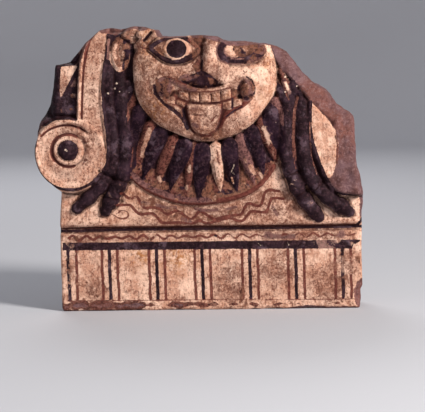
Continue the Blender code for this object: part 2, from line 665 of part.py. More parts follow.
def main():
    clear_scene()
    parts = new_collection(NAME)
    forms = new_collection("relief_forms")
    guides = new_collection("guides")
    inner_cutters = new_collection("inner_cutters")
    cutters = new_collection("cutters")
    make_face(forms, inner_cutters)
    make_eye("left_eye", LEFT_EYE, forms)
    make_eye("right_eye", RIGHT_EYE, forms)
    dome("left_iris", on_face(*LEFT_IRIS, 0.0012), (IRIS_RADIUS, 0.0034, IRIS_RADIUS), forms)
    make_nose(forms)
    make_mouth(forms)
    make_ear_and_brow(forms)
    make_beard(forms)
    make_strands(forms)
    make_side_band(forms)
    make_volute(forms)
    raised_plate("broken_stump", STUMP, STUMP_RELIEF, forms)
    remains = make_remains(guides)
    stub = make_tile_stub(guides, inner_cutters)
    make_cutters(cutters)
    make_antefix(parts, forms, remains, stub, cutters)


main()
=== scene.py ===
"""The looks of the antefix: a moulded gorgon plaque of fired clay with worn cream slip and dark paint.

The front is one height map on a fine grid, in front of the plaque's field. It is made complete, then
broken along the outline that is left, and joined to the stub of its cover tile. The paint is kept as
distances to the edges of the painted shapes, which the material turns into worn, ragged colour.

Drawn sizes are millimetres. Drawn places are (x, h), from the base's middle and above the base's top.
"""

import math

import bmesh
import bpy
import numpy as np
from mathutils import Matrix, Vector


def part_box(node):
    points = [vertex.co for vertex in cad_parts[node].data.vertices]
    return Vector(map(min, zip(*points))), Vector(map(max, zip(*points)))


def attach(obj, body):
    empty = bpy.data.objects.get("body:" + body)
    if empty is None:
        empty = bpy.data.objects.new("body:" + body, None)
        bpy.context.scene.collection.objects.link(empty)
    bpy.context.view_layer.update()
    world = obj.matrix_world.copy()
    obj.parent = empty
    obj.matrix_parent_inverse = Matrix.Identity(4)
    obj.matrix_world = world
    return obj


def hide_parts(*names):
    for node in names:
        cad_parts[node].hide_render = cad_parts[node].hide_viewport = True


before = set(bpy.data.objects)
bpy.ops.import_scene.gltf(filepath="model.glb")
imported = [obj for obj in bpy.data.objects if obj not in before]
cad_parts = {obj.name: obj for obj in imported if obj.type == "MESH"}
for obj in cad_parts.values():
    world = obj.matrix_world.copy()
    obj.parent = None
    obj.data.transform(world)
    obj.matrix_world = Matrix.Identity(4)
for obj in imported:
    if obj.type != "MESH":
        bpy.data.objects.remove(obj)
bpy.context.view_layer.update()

NODE = "antefix"
NODE_LOW, NODE_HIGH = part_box(NODE)

# The plaque as drawn, in millimetres, and the scale that brings it to the node in metres
DRAWN_TOP = 236.8
SCALE = (NODE_HIGH.z - NODE_LOW.z) / DRAWN_TOP
BASE_HEIGHT = 65.6
BODY_DEPTH = 40
FRONT = -BODY_DEPTH / 2
BACK = BODY_DEPTH / 2
TILE_RADIUS = 85
TILE_WALL = 20
TILE_LENGTH = 36

# The fine grid of the front, the coarse one of the back, the steps around and across the broken edge,
# how far behind the front's surface its paint goes, and how near the ground counts as on it
GRID = 0.86
BACK_GRID = 4
OUTLINE_STEP = 1.5
BREAK_STEP = 2.1
MARGIN = 6
FRONT_SKIN = 1.2
TOUCH = 0.001
XS = np.arange(-150, 134, GRID)
HS = np.arange(-BASE_HEIGHT - MARGIN, 178, GRID)
X, H = np.meshgrid(XS, HS)
EVERYWHERE = (slice(None), slice(None))
TINY = 1e-12

# The maps of the front: its relief, how far inside the edge of each paint a place is, and how worn it is
HEIGHT = np.zeros(X.shape)
FAR = 10.0
LAP = 0.7
LAYERS = ("umber", "russet", "mauve", "red", "dark", "bare", "fleck")
PAINT = {name: np.full(X.shape, -FAR) for name in LAYERS}
# Grime, and painted shade in the groove and on the face's left side
GRIME_AND_SHADE = np.zeros(X.shape)
OCHRE = np.zeros(X.shape)
WEAR = np.zeros(X.shape)

# Sizes of the mask
FACE_CENTRE = (-2, 130.5)
FACE_WIDTH = 120.5
FACE_HEIGHT = 111
FACE_RELIEF = 21
FACE_EDGE = 7.5
SHARE = np.hypot((X - FACE_CENTRE[0]) / (FACE_WIDTH / 2), (H - FACE_CENTRE[1]) / (FACE_HEIGHT / 2))
DOME = FACE_EDGE + (FACE_RELIEF - FACE_EDGE) * np.sqrt(np.clip(1 - SHARE**2, 0, 1))

# How softly forms join, how steeply their sides fall, and other levels in front of the field
SOFT = 1.2
STEEP = 4.0
PAD = 1.8
HAIR_PAD = 4.5
BAND = 7
VOLUTE = 8.5
STUMP = 7.5

# The middle lines of the side band's edges, from the top down
BAND_LEFT = [
    (-93.5, 170), (-99.5, 154.2), (-102.6, 144.3), (-104.4, 132), (-105.6, 115.5), (-106.6, 96), (-107, 86),
]
BAND_RIGHT = [
    (-79, 172), (-81.8, 150.6), (-83.8, 139.1), (-86.2, 123.4), (-86.8, 111.1), (-85.8, 100), (-83.8, 86),
    (-83.5, 70),
]

# The volute and the painted boss in it
VOLUTE_CENTRE = (-114.2, 67)
VOLUTE_RADIUS = 30
BOSS_CENTRE = (-115.6, 70)

# The edge of the cheeks and the jaw
FACE_EDGES = [
    (-58.9, 180), (-59.2, 156.7), (-60, 145.3), (-60.7, 133.8), (-59.9, 120.6), (-57, 109.9), (-50, 98.4),
    (-39.4, 88.5), (-26.2, 81.6), (-14.6, 77.4), (-2.1, 75.2), (10.5, 76), (20.6, 78.9), (30, 84.2),
    (37.6, 90), (45.8, 99), (52, 108), (56.8, 116.9), (58.8, 126.7), (58, 136.5), (54.5, 147.5), (50, 160),
    (46, 180),
]

# What is left of the plaque, as (x, h, brokenness): the sound left side, then the volute's arc in degrees,
# then the break, then the right side of the base
OUTLINE = [
    (-124, -65.6, 0.25), (-125.4, -63.6, 0.25), (-125.7, -30, 0.15), (-125.5, 0, 0.15), (-125, 18, 0.15),
    (-123.6, 35, 0.15),
]
VOLUTE_SWEEP = (238, 152)
BROKEN_EDGE = [
    (-142.8, 85), (-141.2, 91.5), (-137.4, 98.5), (-133.4, 106), (-127.8, 125), (-125.7, 140.6),
    (-120.3, 141.5), (-114, 142.3), (-104.1, 154.2), (-87.5, 168.2), (-79.6, 170), (-71.3, 168.5),
    (-59, 172), (-50.5, 170.2), (-41.4, 168.2), (-39.1, 163), (-30.8, 161.9), (-4.3, 162.7), (8.1, 161.4),
    (13, 158.4), (31.1, 157.1), (48.4, 155.1), (57.5, 152.3), (65.6, 147.7), (72.9, 138.8), (78.5, 130.7),
    (88.3, 122.6), (98, 116.3), (107, 104.3), (118.4, 96.2), (120.8, 92.4), (121.6, 74.2), (122.4, 55.5),
    (125.6, 43.5), (127.5, 26.8), (126.8, 14.4),
]
OUTLINE_END = [
    (126.2, 8, 0.2), (126, -30, 0.2), (126.3, -47, 0.2), (125.5, -50, 0.8), (125, -62, 0.9),
    (124, -65.6, 0.6),
]

# Where each chart of the bake map begins, and its scale per millimetre
BAKE_CHARTS = {
    "front": (0.01, 0.01, 0.0032), "rim": (0.01, 0.775, 0.0009), "back": (0.01, 0.84, 0.00062),
    "under": (0.20, 0.84, 0.00062), "end": (0.40, 0.84, 0.00062), "outer": (0.52, 0.84, 0.00062),
    "inner": (0.52, 0.88, 0.00062),
}

# The beard's locks, as middle line, half width and paint, and how wide a lock is along its length
LOCKS = [
    ([(-61.2, 115), (-62.8, 101), (-65, 89)], 3.4, "russet"),
    ([(-62.8, 127), (-65, 119), (-67.2, 106)], 4.6, "dark"),
    ([(-44.8, 93.5), (-49.4, 80), (-54.8, 68), (-58.8, 53.5)], 5.6, "russet"),
    ([(-26.2, 81), (-31.5, 69), (-38.5, 55.5), (-43, 39.5)], 5.2, "russet"),
    ([(-10.8, 75.5), (-13.7, 61), (-16.7, 45.2), (-18.7, 31)], 4.4, "russet"),
    ([(26.4, 82.2), (28.7, 69), (32.8, 54.4), (38, 38.5)], 5.4, "mauve"),
    ([(43.4, 94.5), (47.4, 81.5), (52.3, 69), (56.6, 55.5)], 5, "russet"),
    ([(53.5, 111), (57.5, 100), (62.2, 87)], 4.4, "mauve"),
    ([(6, 74.8), (6.7, 62), (8, 48.1), (9.5, 33.5)], 5.4, None),
    ([(-54.1, 107.2), (-56.2, 98.5), (-61.1, 84.1), (-66.5, 66.5)], 6.4, "dark"),
    ([(-35.8, 89.6), (-40.8, 77.5), (-48.3, 62.3), (-55.5, 44.5)], 6.6, "dark"),
    ([(-17.6, 79), (-21.7, 65), (-28.5, 50.3), (-32.4, 34.8)], 6.8, "dark"),
    ([(-4.4, 75.2), (-5.1, 61.5), (-7.4, 45), (-9.6, 26.2)], 6.7, "dark"),
    ([(17.6, 78), (17.9, 64), (19.9, 47.9), (23.4, 32.5)], 6.7, "dark"),
    ([(35, 88.4), (37.4, 75.5), (41.7, 62.5), (45.3, 47)], 6.6, "dark"),
    ([(51, 104.6), (52.7, 90), (56.5, 77.2), (61.1, 61.2)], 6.6, "dark"),
]
LOCK_SHAPE = (
    0.34, 0.82, 0.98, 1.05, 1.07, 1.07, 1.06, 1.04, 1.01, 0.97,
    0.93, 0.88, 0.82, 0.75, 0.67, 0.57, 0.45, 0.32, 0.18, 0.06,
)

# Where the locks' paint is rubbed to the slip, or to another colour
LOCK_LIGHTS = [
    ([(-47.4, 86.5), (-51.2, 76), (-55.2, 64)], 1.1, None),
    ([(-42.5, 47), (-40.5, 43)], 0.9, None),
    ([(-15, 57), (-16.2, 49)], 0.9, None),
    ([(-18.2, 40), (-19, 35)], 0.9, None),
    ([(46, 88), (50.8, 74)], 1.5, None),
    ([(30, 62), (31.5, 56)], 0.9, None),
    ([(35.2, 56), (37.2, 47)], 0.9, None),
    ([(42, 50), (44, 43)], 0.9, None),
    ([(7.4, 68), (8.8, 56)], 0.7, "russet"),
    ([(4, 60), (6.2, 44)], 0.6, "russet"),
]

# The ring that the beard's tips rest on
RING = [
    (-64.7, 49), (-59.8, 42.3), (-51.6, 36.3), (-42.5, 31.6), (-26.8, 25.9), (-9.4, 24), (9.8, 25.8),
    (28.1, 30.1), (39.8, 36.6), (47.4, 44), (54.2, 53.8),
]

# The long strands of hair, as middle line and half width, the pinches across them and the thin one
STRANDS = [
    ([(-78.8, 148), (-81, 127.6), (-80.6, 106.9), (-78.8, 87.9), (-77.6, 69.6), (-81.1, 53.1),
      (-92.2, 37.5), (-110.4, 21)], 5.8),
    ([(-72.2, 136), (-71.2, 110.9), (-69, 90.2), (-67.9, 69.5), (-70.7, 51.3), (-78.2, 34.8),
      (-86.8, 18.5)], 6.6),
    ([(70, 119), (66.4, 103), (64.5, 88), (64.5, 65.7), (68.3, 47.5), (75.5, 31), (90.4, 11)], 6.2),
    ([(77.5, 106), (77.8, 96), (78, 80), (80, 60), (86.2, 42.5), (97.5, 28.5), (115.6, 15)], 6.6),
]
PINCHES = [
    [(-90.5, 52), (-78.5, 45)], [(-80.5, 47), (-66.5, 41)], [(61.5, 44.8), (76.5, 50)],
    [(85, 31), (94.5, 41)], [(71, 27), (83, 35)], [(-88, 31), (-73, 26)],
]
THIN_STRAND = [(84.2, 106), (83.8, 93.3), (83.9, 83.5), (86, 71.1), (90.8, 56.5), (96.4, 43.2), (102, 33.7)]


def cubic_weights(count, spacing, cell):
    """Rows of weights that spread a coarse random lattice smoothly over `count` points."""
    place = np.arange(count) * spacing / cell
    first = place.astype(int)
    t = place - first
    weights = np.zeros((count, first[-1] + 4))
    shares = ((1 - t) ** 3, 3 * t**3 - 6 * t**2 + 4, -3 * t**3 + 3 * t**2 + 3 * t + 1, t**3)
    for offset, share in enumerate(shares):
        weights[np.arange(count), first + offset] = share / 6
    return weights


def noise(shape, spacing, cell, seed):
    """Smooth random bumps about `cell` across, from about -1 to 1."""
    down = cubic_weights(shape[0], spacing[0], cell)
    across = cubic_weights(shape[1], spacing[1], cell)
    lattice = np.random.default_rng(seed).uniform(-1, 1, (down.shape[1], across.shape[1]))
    return 1.7 * down @ lattice @ across.T


def front_noise(cell, seed):
    """The same bumps over the front's whole grid."""
    return noise(X.shape, (GRID, GRID), cell, seed)


def blurred(field, cells):
    """A Gaussian blur with a spread of `cells` grid steps."""
    reach = int(cells * 3)
    shares = np.exp(-0.5 * (np.arange(-reach, reach + 1) / cells) ** 2)
    shares /= shares.sum()
    for axis in (0, 1):
        padding = [(reach, reach) if side == axis else (0, 0) for side in (0, 1)]
        wide = np.pad(field, padding, mode="edge")
        field = sum(
            share * np.take(wide, range(step, step + field.shape[axis]), axis=axis)
            for step, share in enumerate(shares)
        )
    return field


def smooth_path(points, count=40):
    """`count` points along a Catmull-Rom curve through the given ones."""
    given = np.asarray(points, float)
    ends = np.vstack((2 * given[0] - given[1], given, 2 * given[-1] - given[-2]))
    along = np.linspace(0, len(given) - 1, count)
    leg = np.minimum(along.astype(int), len(given) - 2)
    t = (along - leg)[:, None]
    a, b, c, d = ends[leg], ends[leg + 1], ends[leg + 2], ends[leg + 3]
    bend = (2 * a - 5 * b + 4 * c - d) * t**2 + (3 * b - a - 3 * c + d) * t**3
    return (2 * b + (c - a) * t + bend) / 2


def arc(centre, radius, start, end, count=40):
    """Points on an arc, with angles in degrees; the radius may change from first to last."""
    turns = np.radians(np.linspace(start, end, count))
    radii = np.linspace(*radius, count) if np.ndim(radius) else np.full(count, radius)
    return np.stack((centre[0] + radii * np.cos(turns), centre[1] + radii * np.sin(turns)), 1)


def bell(away, width):
    """1 in the middle, falling smoothly to almost nothing at twice `width`."""
    return np.exp(-((away / width) ** 2))


def dome(share):
    """The height of a round dome, as a share of its rise, at a share of its radius."""
    return np.sqrt(np.clip(1 - share**2, 0, 1))


def window(points, margin):
    """The part of the grid within `margin` of some points."""
    low, high = np.min(points, 0) - margin, np.max(points, 0) + margin
    columns = slice(*np.searchsorted(XS, (low[0], high[0])))
    rows = slice(*np.searchsorted(HS, (low[1], high[1])))
    return rows, columns


def to_path(path, where):
    """Each grid point's distance to a path, and the share of the path's length where it is nearest."""
    x, h = X[where], H[where]
    best, share = np.full(x.shape, np.inf), np.zeros(x.shape)
    legs = np.diff(path, axis=0)
    lengths = np.hypot(*legs.T)
    travelled = np.r_[0.0, np.cumsum(lengths)]
    for (x0, h0), (dx, dh), length, before in zip(path, legs, lengths, travelled):
        t = np.clip(((x - x0) * dx + (h - h0) * dh) / max(length**2, TINY), 0, 1)
        distance = np.hypot(x - x0 - t * dx, h - h0 - t * dh)
        closer = distance < best
        best = np.where(closer, distance, best)
        share = np.where(closer, (before + t * length) / travelled[-1], share)
    return best, share


def inside(outline, where=EVERYWHERE):
    """How far inside (+) or outside (-) a closed outline."""
    x, h = X[where], H[where]
    best, within = np.full(x.shape, np.inf), np.zeros(x.shape, bool)
    points = np.asarray(outline, float)
    for (x0, h0), (x1, h1) in zip(points, np.roll(points, -1, 0)):
        dx, dh = x1 - x0, h1 - h0
        t = np.clip(((x - x0) * dx + (h - h0) * dh) / max(dx * dx + dh * dh, TINY), 0, 1)
        best = np.minimum(best, np.hypot(x - x0 - t * dx, h - h0 - t * dh))
        if dh != 0:
            within ^= ((h0 > h) != (h1 > h)) & (x < dx * (h - h0) / dh + x0)
    return np.where(within, best, -best)


def in_ellipse(centre, radii, where):
    """About how far inside (+) or outside (-) an ellipse, and the share of its radius."""
    share = np.hypot((X[where] - centre[0]) / radii[0], (H[where] - centre[1]) / radii[1])
    return (1 - share) * min(radii), share


def cliff(depth, width):
    """0 outside an edge and 1 inside it, sloping over `width`."""
    t = np.clip(depth / width + 0.5, 0.0, 1.0)
    return t * t * (3 - 2 * t)


def plateau(level, depth, width, drop=3):
    """A level inside an edge that slopes to `drop` behind the field outside it."""
    return cliff(depth, width) * (level + drop) - drop


def raise_to(where, form, soft=SOFT):
    """Joins a form to the relief with a small fillet."""
    ground = HEIGHT[where]
    fillet = np.maximum(soft - np.abs(ground - form), 0.0)
    HEIGHT[where] = np.maximum(ground, form) + fillet**2 / (4 * soft)


def cover(where, depth, layer):
    """Paints a shape in one colour, with nothing over it. None leaves the slip, "keep" what is there."""
    if layer == "keep":
        return
    above = LAYERS[LAYERS.index(layer) + 1:] if layer else LAYERS
    if layer:
        painted = np.max([PAINT[name][where] for name in above] or [-FAR], axis=0) > 0
        PAINT[layer][where] = np.maximum(PAINT[layer][where], depth + LAP * painted)
    for name in above:
        PAINT[name][where] = np.minimum(PAINT[name][where], -depth)


def bench(outline, level, layer="keep", width=2, smooth=False):
    """A flat form with sloping sides."""
    points = smooth_path([*outline, outline[0]], 12 * len(outline)) if smooth else np.asarray(outline)
    where = window(points, FAR)
    depth = inside(points, where)
    raise_to(where, plateau(level, depth, width))
    cover(where, depth, layer)
    return where, depth


def bar(path, halves, lift, flat=1.0, layer="keep", overlap=0.0, soft=SOFT):
    """A rounded bar. Halves are its half widths along the path, and lift is the level of its middle line."""
    path = np.asarray(path, float)
    where = window(path, FAR)
    distance, share = to_path(path, where)
    half = np.interp(share, np.linspace(0, 1, len(halves)), halves)
    if isinstance(lift, tuple):
        middle = np.interp(share, np.linspace(0, 1, len(lift)), lift)
    else:
        middle = lift[where] if np.ndim(lift) else lift
    crown = flat * np.sqrt(np.clip(half**2 - distance**2, 0, None))
    fall = STEEP * np.clip(distance - half, 0, None)
    raise_to(where, middle + crown - fall, soft)
    cover(where, half - distance + overlap, layer)
    return where, distance, share


def sink(outline, depth, layer, width=1.6, rough=0.0):
    """A hollow with a painted floor."""
    where = window(outline, FAR)
    within = inside(outline, where)
    HEIGHT[where] -= cliff(within, width) * (depth + rough * front_noise(3.2, 43)[where])
    cover(where, within, layer)


def lump(centre, radii, lift, rise, layer="keep", overlap=0.0):
    """A rounded lump of elliptical outline."""
    where = window([centre], max(radii) + FAR)
    depth, share = in_ellipse(centre, radii, where)
    middle = lift[where] if np.ndim(lift) else lift
    raise_to(where, middle + rise * dome(share) - STEEP * np.clip(-depth, 0, None))
    cover(where, depth + overlap, layer)
    return where, depth, share


def drawn_line(points, count):
    """The points as they are, or `count` points along a curve through them."""
    return smooth_path(points, count) if count else np.asarray(points, float)


def stroke(points, half, layer, count=0):
    """A painted line that has no relief."""
    path = drawn_line(points, count)
    where = window(path, FAR)
    distance, _ = to_path(path, where)
    cover(where, half - distance, layer)


def wavering(start, end, seed):
    """A hand-drawn line between two points."""
    drift = np.random.default_rng(seed).normal(0, 0.13, (6, 1)) * (1.0, 0.0)
    return smooth_path(np.linspace(start, end, 6) + drift, 30)


def fill(outline, layer):
    """A painted area that has no relief."""
    where = window(outline, FAR)
    cover(where, inside(outline, where), layer)


def mottle(outline, layer, cell, seed, share=0.0):
    """Ragged patches of one colour within an outline."""
    where = window(outline, FAR)
    patches = (front_noise(cell, seed)[where] + share) * cell * 0.5
    cover(where, np.minimum(inside(outline, where), patches), layer)


def press(points, half, depth, count=0):
    """A line pressed into the clay."""
    path = drawn_line(points, count)
    where = window(path, FAR)
    distance, _ = to_path(path, where)
    HEIGHT[where] -= depth * bell(distance, half)


def spots(field, places):
    """Adds soft round spots of (x, h, radius, strength)."""
    for x, h, radius, strength in places:
        where = window([(x, h)], radius * 2.5)
        field[where] += strength * np.exp(-((X[where] - x) ** 2 + (H[where] - h) ** 2) / radius**2)


def make_field():
    """The ground that the relief stands on, with a pressed groove and a soft lower lip."""
    HEIGHT[:] = 0.0
    wander = 0.5 * front_noise(20, 36)
    lip = 1.2 * bell(H - 7.8 - wander, 2.6)
    groove = cliff(2.6 - np.abs(H - 2 - wander), 1.4) * 5.2
    HEIGHT[:] += lip - groove
    # Painted shade: the dark lines along the groove and up its right end, and the darker spots along it
    stroke([(-125, 1.8), (-60, 2.2), (40, 1.9), (125.5, 2.4)], 1.3, "dark")
    stroke([(-125, 4), (-60, 4.6), (40, 4), (120, 4.2)], 1, "russet")
    stroke([(113, 2.4), (120, 3.4), (124, 6.2), (126.2, 10.5)], 1.2, "dark", 16)
    spots(GRIME_AND_SHADE, [(x, 1, 10, 0.55) for x in np.arange(-115, 120, 16)])


def make_side_band():
    """The upright band on the left and the painted leaf beside it."""
    fill([(-144, 90), (-130, 143), (-93, 172), (-93, 150), (-106, 90)], "dark")
    bench([(-131, 142.5), (-106, 141), (-106, 98.5), (-130, 99)], 2.8, width=2.6)
    leaf = [
        (-120.4, 138.5), (-114, 139.4), (-107.4, 139.2), (-110.7, 132.5), (-115.5, 123.8), (-119.6, 116),
        (-121.7, 113.8), (-121.8, 122), (-121.2, 130),
    ]
    fill(smooth_path([*leaf, leaf[0]], 50), None)
    spots(GRIME_AND_SHADE, [(-114, 139, 6, 0.3), (-120.5, 118, 7, 0.9), (-116, 125, 6, 0.4)])
    wedge = [(-121.5, 112), (-117.5, 115), (-112, 124), (-108.5, 131), (-108, 104), (-121.5, 101)]
    mottle(wedge, "mauve", 3.8, 54, -0.45)
    mottle(wedge, "umber", 2.6, 55, -0.60)
    left, right = smooth_path(BAND_LEFT), smooth_path(BAND_RIGHT)
    bench(np.vstack((left, right[::-1])), BAND, None)
    bar(left, (1.2, 1.3), BAND + 0.2, layer=None)
    press(left + (2.6, 0.0), 0.9, 1)
    line = left + np.stack((np.interp(range(40), (0, 12), (0.6, 2.7)), np.zeros(40)), 1)
    stroke(line[1:36], 1.1, "red")
    stroke(line[1:14], 1.5, "red")
    bar(right[2:], (1, 1.2), BAND - 0.2, layer=None)
    middle = (left[:36] + right[:36]) / 2
    spots(GRIME_AND_SHADE, [(x, h, 8, 0.50) for x, h in middle[4::6]])


def make_volute():
    """The volute at the band's foot: a dished disc, a rim that curls in over it, and a painted boss."""
    where = window([VOLUTE_CENTRE], VOLUTE_RADIUS + FAR)
    radius = np.hypot(X[where] - VOLUTE_CENTRE[0], H[where] - VOLUTE_CENTRE[1])
    dish = 1.3 * bell(radius - 22.2, 4.5)
    raise_to(where, plateau(VOLUTE - dish, VOLUTE_RADIUS - radius, 2.6))
    cover(where, VOLUTE_RADIUS - radius, None)
    rim = smooth_path([
        *smooth_path(BAND_RIGHT)[10:-4:6], (-82.9, 69.7), (-85.5, 57), (-93.2, 45.8), (-103.3, 39),
        (-115, 37.2), (-126.6, 40.3), (-135.2, 47.8), (-140.4, 57.7), (-142.4, 70), (-140.8, 79),
        (-136.2, 85.5), (-130, 90), (-122, 92.7), (-113.6, 93), (-105.4, 90.8), (-99.2, 86.6),
    ], 120)
    bar(rim, (1.2, 1.4, 1.6, 1.8, 1.8, 1.6, 1.2), VOLUTE - 0.6, layer=None, overlap=-0.6)
    curl = rim[84:] - np.array((0.4, 2.6))
    press(curl, 1.3, 1.1)
    stroke(curl[4:-2], 1, "red")
    where = window([BOSS_CENTRE], VOLUTE_RADIUS)
    from_boss = np.hypot(X[where] - BOSS_CENTRE[0], H[where] - BOSS_CENTRE[1])
    HEIGHT[where] -= 1.8 * bell(from_boss - 13.8, 1.6)
    HEIGHT[where] += 1.2 * bell(from_boss - 10.8, 1.6)
    GRIME_AND_SHADE[where] += 0.35 * bell(from_boss - 17, 5)
    stroke(arc(BOSS_CENTRE, (13, 13.8), 60, 290), 1.4, "red")
    stroke(arc(BOSS_CENTRE, (13.4, 13.8), 130, 215), 1.9, "red")
    beside = [
        (-104, 83), (-98.5, 75), (-97.5, 65), (-101, 56), (-105, 56), (-102.2, 64), (-102, 73), (-106, 80),
    ]
    mottle(beside, "russet", 2.6, 56, -0.20)
    lump(BOSS_CENTRE, (8.7, 8.7), VOLUTE, 4.6, "dark")
    # Painted shadows: a dark line under the rim's lower left, and one under the leaf above the volute
    stroke(arc(VOLUTE_CENTRE, 29.8, 160, 325), 1.3, "dark")
    stroke([(-130, 95.5), (-124, 96.2), (-116, 96.6), (-108.5, 95.5)], 1.4, "dark")
    spots(GRIME_AND_SHADE, [
        (-107, 88, 5, 0.8), (-100, 80, 6, 0.6), (-118, 88, 6, 0.5), (-96, 70, 9, 0.5), (-115, 48, 14, 0.3),
    ])


def make_right_break():
    """The broken-off stump of the lost right volute, with the slip of the band's inner side left on it."""
    stump = [
        (82.2, 109), (69, 125), (59, 134.5), (54.5, 144), (46, 151.4), (33, 156), (33, 170), (140, 170),
        (140, 28.5), (126.4, 28.1), (118.1, 28.8), (112.4, 30), (105, 31.7), (97.5, 42), (91.5, 55),
        (85.2, 72), (82.8, 88),
    ]
    where, depth = bench(stump, STUMP, "bare", 3)
    rough = 1.6 * front_noise(24, 30) + 1.3 * front_noise(9, 31) + 0.9 * front_noise(3.5, 32)
    HEIGHT[where] += rough[where] * cliff(depth, 4)
    ridge = [(107.5, 90), (106.2, 70), (107.5, 50), (111, 32)]
    bar(smooth_path(ridge), (3, 5, 3), STUMP - 1, 0.5, soft=4)
    lens = smooth_path([
        (86.3, 105.6), (92.8, 98.1), (99.2, 91.5), (104, 83.2), (105.6, 76.5), (105.2, 64), (104.5, 54.3),
        (101, 45.3), (96.9, 44.6), (92.1, 52.1), (88.1, 62), (85.5, 73.6), (83.2, 83.5), (84.8, 95.8),
        (86.3, 105.6),
    ], 60)
    where, depth = bench(lens, STUMP + 0.8, None, 1.4)
    GRIME_AND_SHADE[where] -= 0.3 * cliff(depth, 2)
    stroke([(104.7, 78), (106.2, 70), (105.6, 56)], 0.7, "russet", 14)
    fill([(100, 33.5), (105, 30), (114.5, 29.2), (126.5, 27.2), (129, 27.2), (129, 10), (109, 12)], None)
    # Painted shadow: a dark line under the stump's lower edge
    stroke([(101.2, 32.2), (110, 30.2), (118, 29), (127, 28.4)], 0.9, "dark", 20)


def make_hair():
    """The long beaded strands, the thin one by the stump and the short locks at the temple."""
    bar(smooth_path(THIN_STRAND), (1.6, 1.9, 1.5), STUMP - 0.3, layer="dark", overlap=0.3)
    for path, half in STRANDS:
        line = smooth_path(path, 60)
        length = np.hypot(*np.diff(line, axis=0).T).sum()
        share = np.linspace(0, 1, 60)
        beads = 1 + (0.025 + 0.085 * share**2) * np.cos(math.tau * share * length / 14)
        taper = np.minimum(1, np.minimum(0.74 + 4 * (1 - share), 0.70 + 1.6 * share))
        lifts = (half * 0.5, half * 0.5, half * 0.5, half * 0.4, 0.0)
        bar(line, half * beads * taper, lifts, layer="dark", overlap=0.2)
        # A thin russet line along each strand's right edge: brown paint, and a painted highlight on its lit
        # rim
        edge = line + np.stack((np.interp(share, (0, 1), (half, half * 0.7)), np.zeros(60)), 1)
        stroke(edge[14:38], 0.4, "russet")
    for pinch in PINCHES:
        press(pinch, 1.5, 3)
    for points, half, layer in (
        ([(75.2, 114), (72.2, 102), (71.2, 93.5), (70.6, 75.4), (72.2, 58.9)], 1.2, "russet"),
        ([(59.8, 133), (63.2, 127), (66.8, 122.5)], 2.2, "russet"),
        ([(63, 124), (65.2, 119), (67.6, 114)], 2.6, "mauve"),
        ([(57.5, 119.5), (60, 115), (65, 106)], 4.2, "dark"),
        ([(56, 118), (57, 113), (60, 107)], 0.8, "russet"),
        ([(64, 118), (65.5, 113), (67.2, 108)], 0.8, "russet"),
        ([(70, 122.5), (71.4, 118), (72.2, 113)], 3, "dark"),
        ([(75.5, 115), (77.2, 110)], 2.4, "dark"),
    ):
        bar(smooth_path(points), (half * 0.8, half, half * 0.6), HAIR_PAD + 1.4, layer=layer)
    stroke([(64.6, 122.6), (65.8, 119), (66.4, 116.6)], 0.9, None, 12)


def make_hair_ground():
    """The dark ground under the strands."""
    pads = [
        [(-81.5, 166), (-83.2, 150.6), (-85.2, 139.1), (-86.4, 123.4), (-86.4, 108), (-84, 86), (-83.8, 70),
         (-85, 52), (-70, 40), (-54, 52), (-56, 100), (-60, 166)],
        [(54, 130), (70, 127), (85, 112), (90, 56), (96.5, 42), (76, 36), (60, 52)],
    ]
    for pad in pads:
        bench(pad, HAIR_PAD, "dark", 4)


def make_beard():
    """The low ground under the locks and the ring that their tips rest on."""
    ring = smooth_path(RING, 60)
    pad = np.vstack((ring, [(64, 70), (60, 130), (-60, 130), (-66, 70)]))
    where = window(pad, FAR)
    depth = inside(pad, where)
    raise_to(where, plateau(PAD, depth, 3, 2))
    cover(where, depth, "umber")
    blotches = (front_noise(4.2, 33) + 0.8 * front_noise(2, 58))[where]
    # Painted shade: the upper ground between the locks, under the mask's edge, is painted dark
    above = H[where] - 48 - 0.12 * np.abs(X[where] + 5) + 5 * blotches
    cover(where, np.minimum(depth - 2, above), "dark")
    mottle(pad[:60] + (0.0, 4), "dark", 3.4, 59, -0.30)
    mottle(pad[:60] + (0.0, 3), "russet", 3, 78, -0.30)
    GRIME_AND_SHADE[where] += cliff(depth, 2) * (0.35 + np.clip(blotches * 1.2, 0, 0.8))
    WEAR[where] += 0.9 * cliff(depth, 2) * np.clip(-blotches * 1.6 - 0.55, 0, 1)
    OCHRE[where] += 0.7 * cliff(depth, 2)
    bar(ring, (1.7, 1.9, 1.7), 0.8, layer="red", overlap=0.3)
    stroke((ring + (0.3, 2.6))[2:34], 2.1, "mauve")
    stroke((ring - (0, 0.6))[10:58], 1, "red")
    spots(WEAR, [(-60, 44, 6, 0.5), (-20, 26.2, 6, 0.5), (35, 33, 6, 0.4)])


def make_locks():
    """The petal-like locks, whose round tops come out from under the mask's lower edge."""
    under = 0.7 - mask_depth()
    for path, half, colour in LOCKS:
        middle = smooth_path(path, 24)
        levels = (FACE_EDGE - 0.6, FACE_EDGE - 2.4, PAD + 1, PAD)
        where, distance, share = bar(middle, half * np.array(LOCK_SHAPE), levels, 0.66)
        wide = half * np.interp(share, np.linspace(0, 1, len(LOCK_SHAPE)), LOCK_SHAPE)
        cover(where, np.minimum(wide - distance + 0.1, under[where]), colour)
        for field in (GRIME_AND_SHADE, WEAR, OCHRE):
            field[where] *= 1 - cliff(np.minimum(half - distance, under[where]), 1)
        if colour == "russet":
            WEAR[where] += 0.18 * bell(distance, 3)
    for line, half, colour in LOCK_LIGHTS:
        path = smooth_path(line, 9)
        if colour:
            stroke(path, half, colour)
            continue
        reach = half * 2.4
        crowd = bell(np.hypot(*(path - path[4]).T), reach).sum()
        spots(WEAR, [(x, h, reach, 1.20 / crowd) for x, h in path])
    spots(GRIME_AND_SHADE, [(x, h, 4, 0.45) for x, h in smooth_path(LOCKS[8][0], 6)])


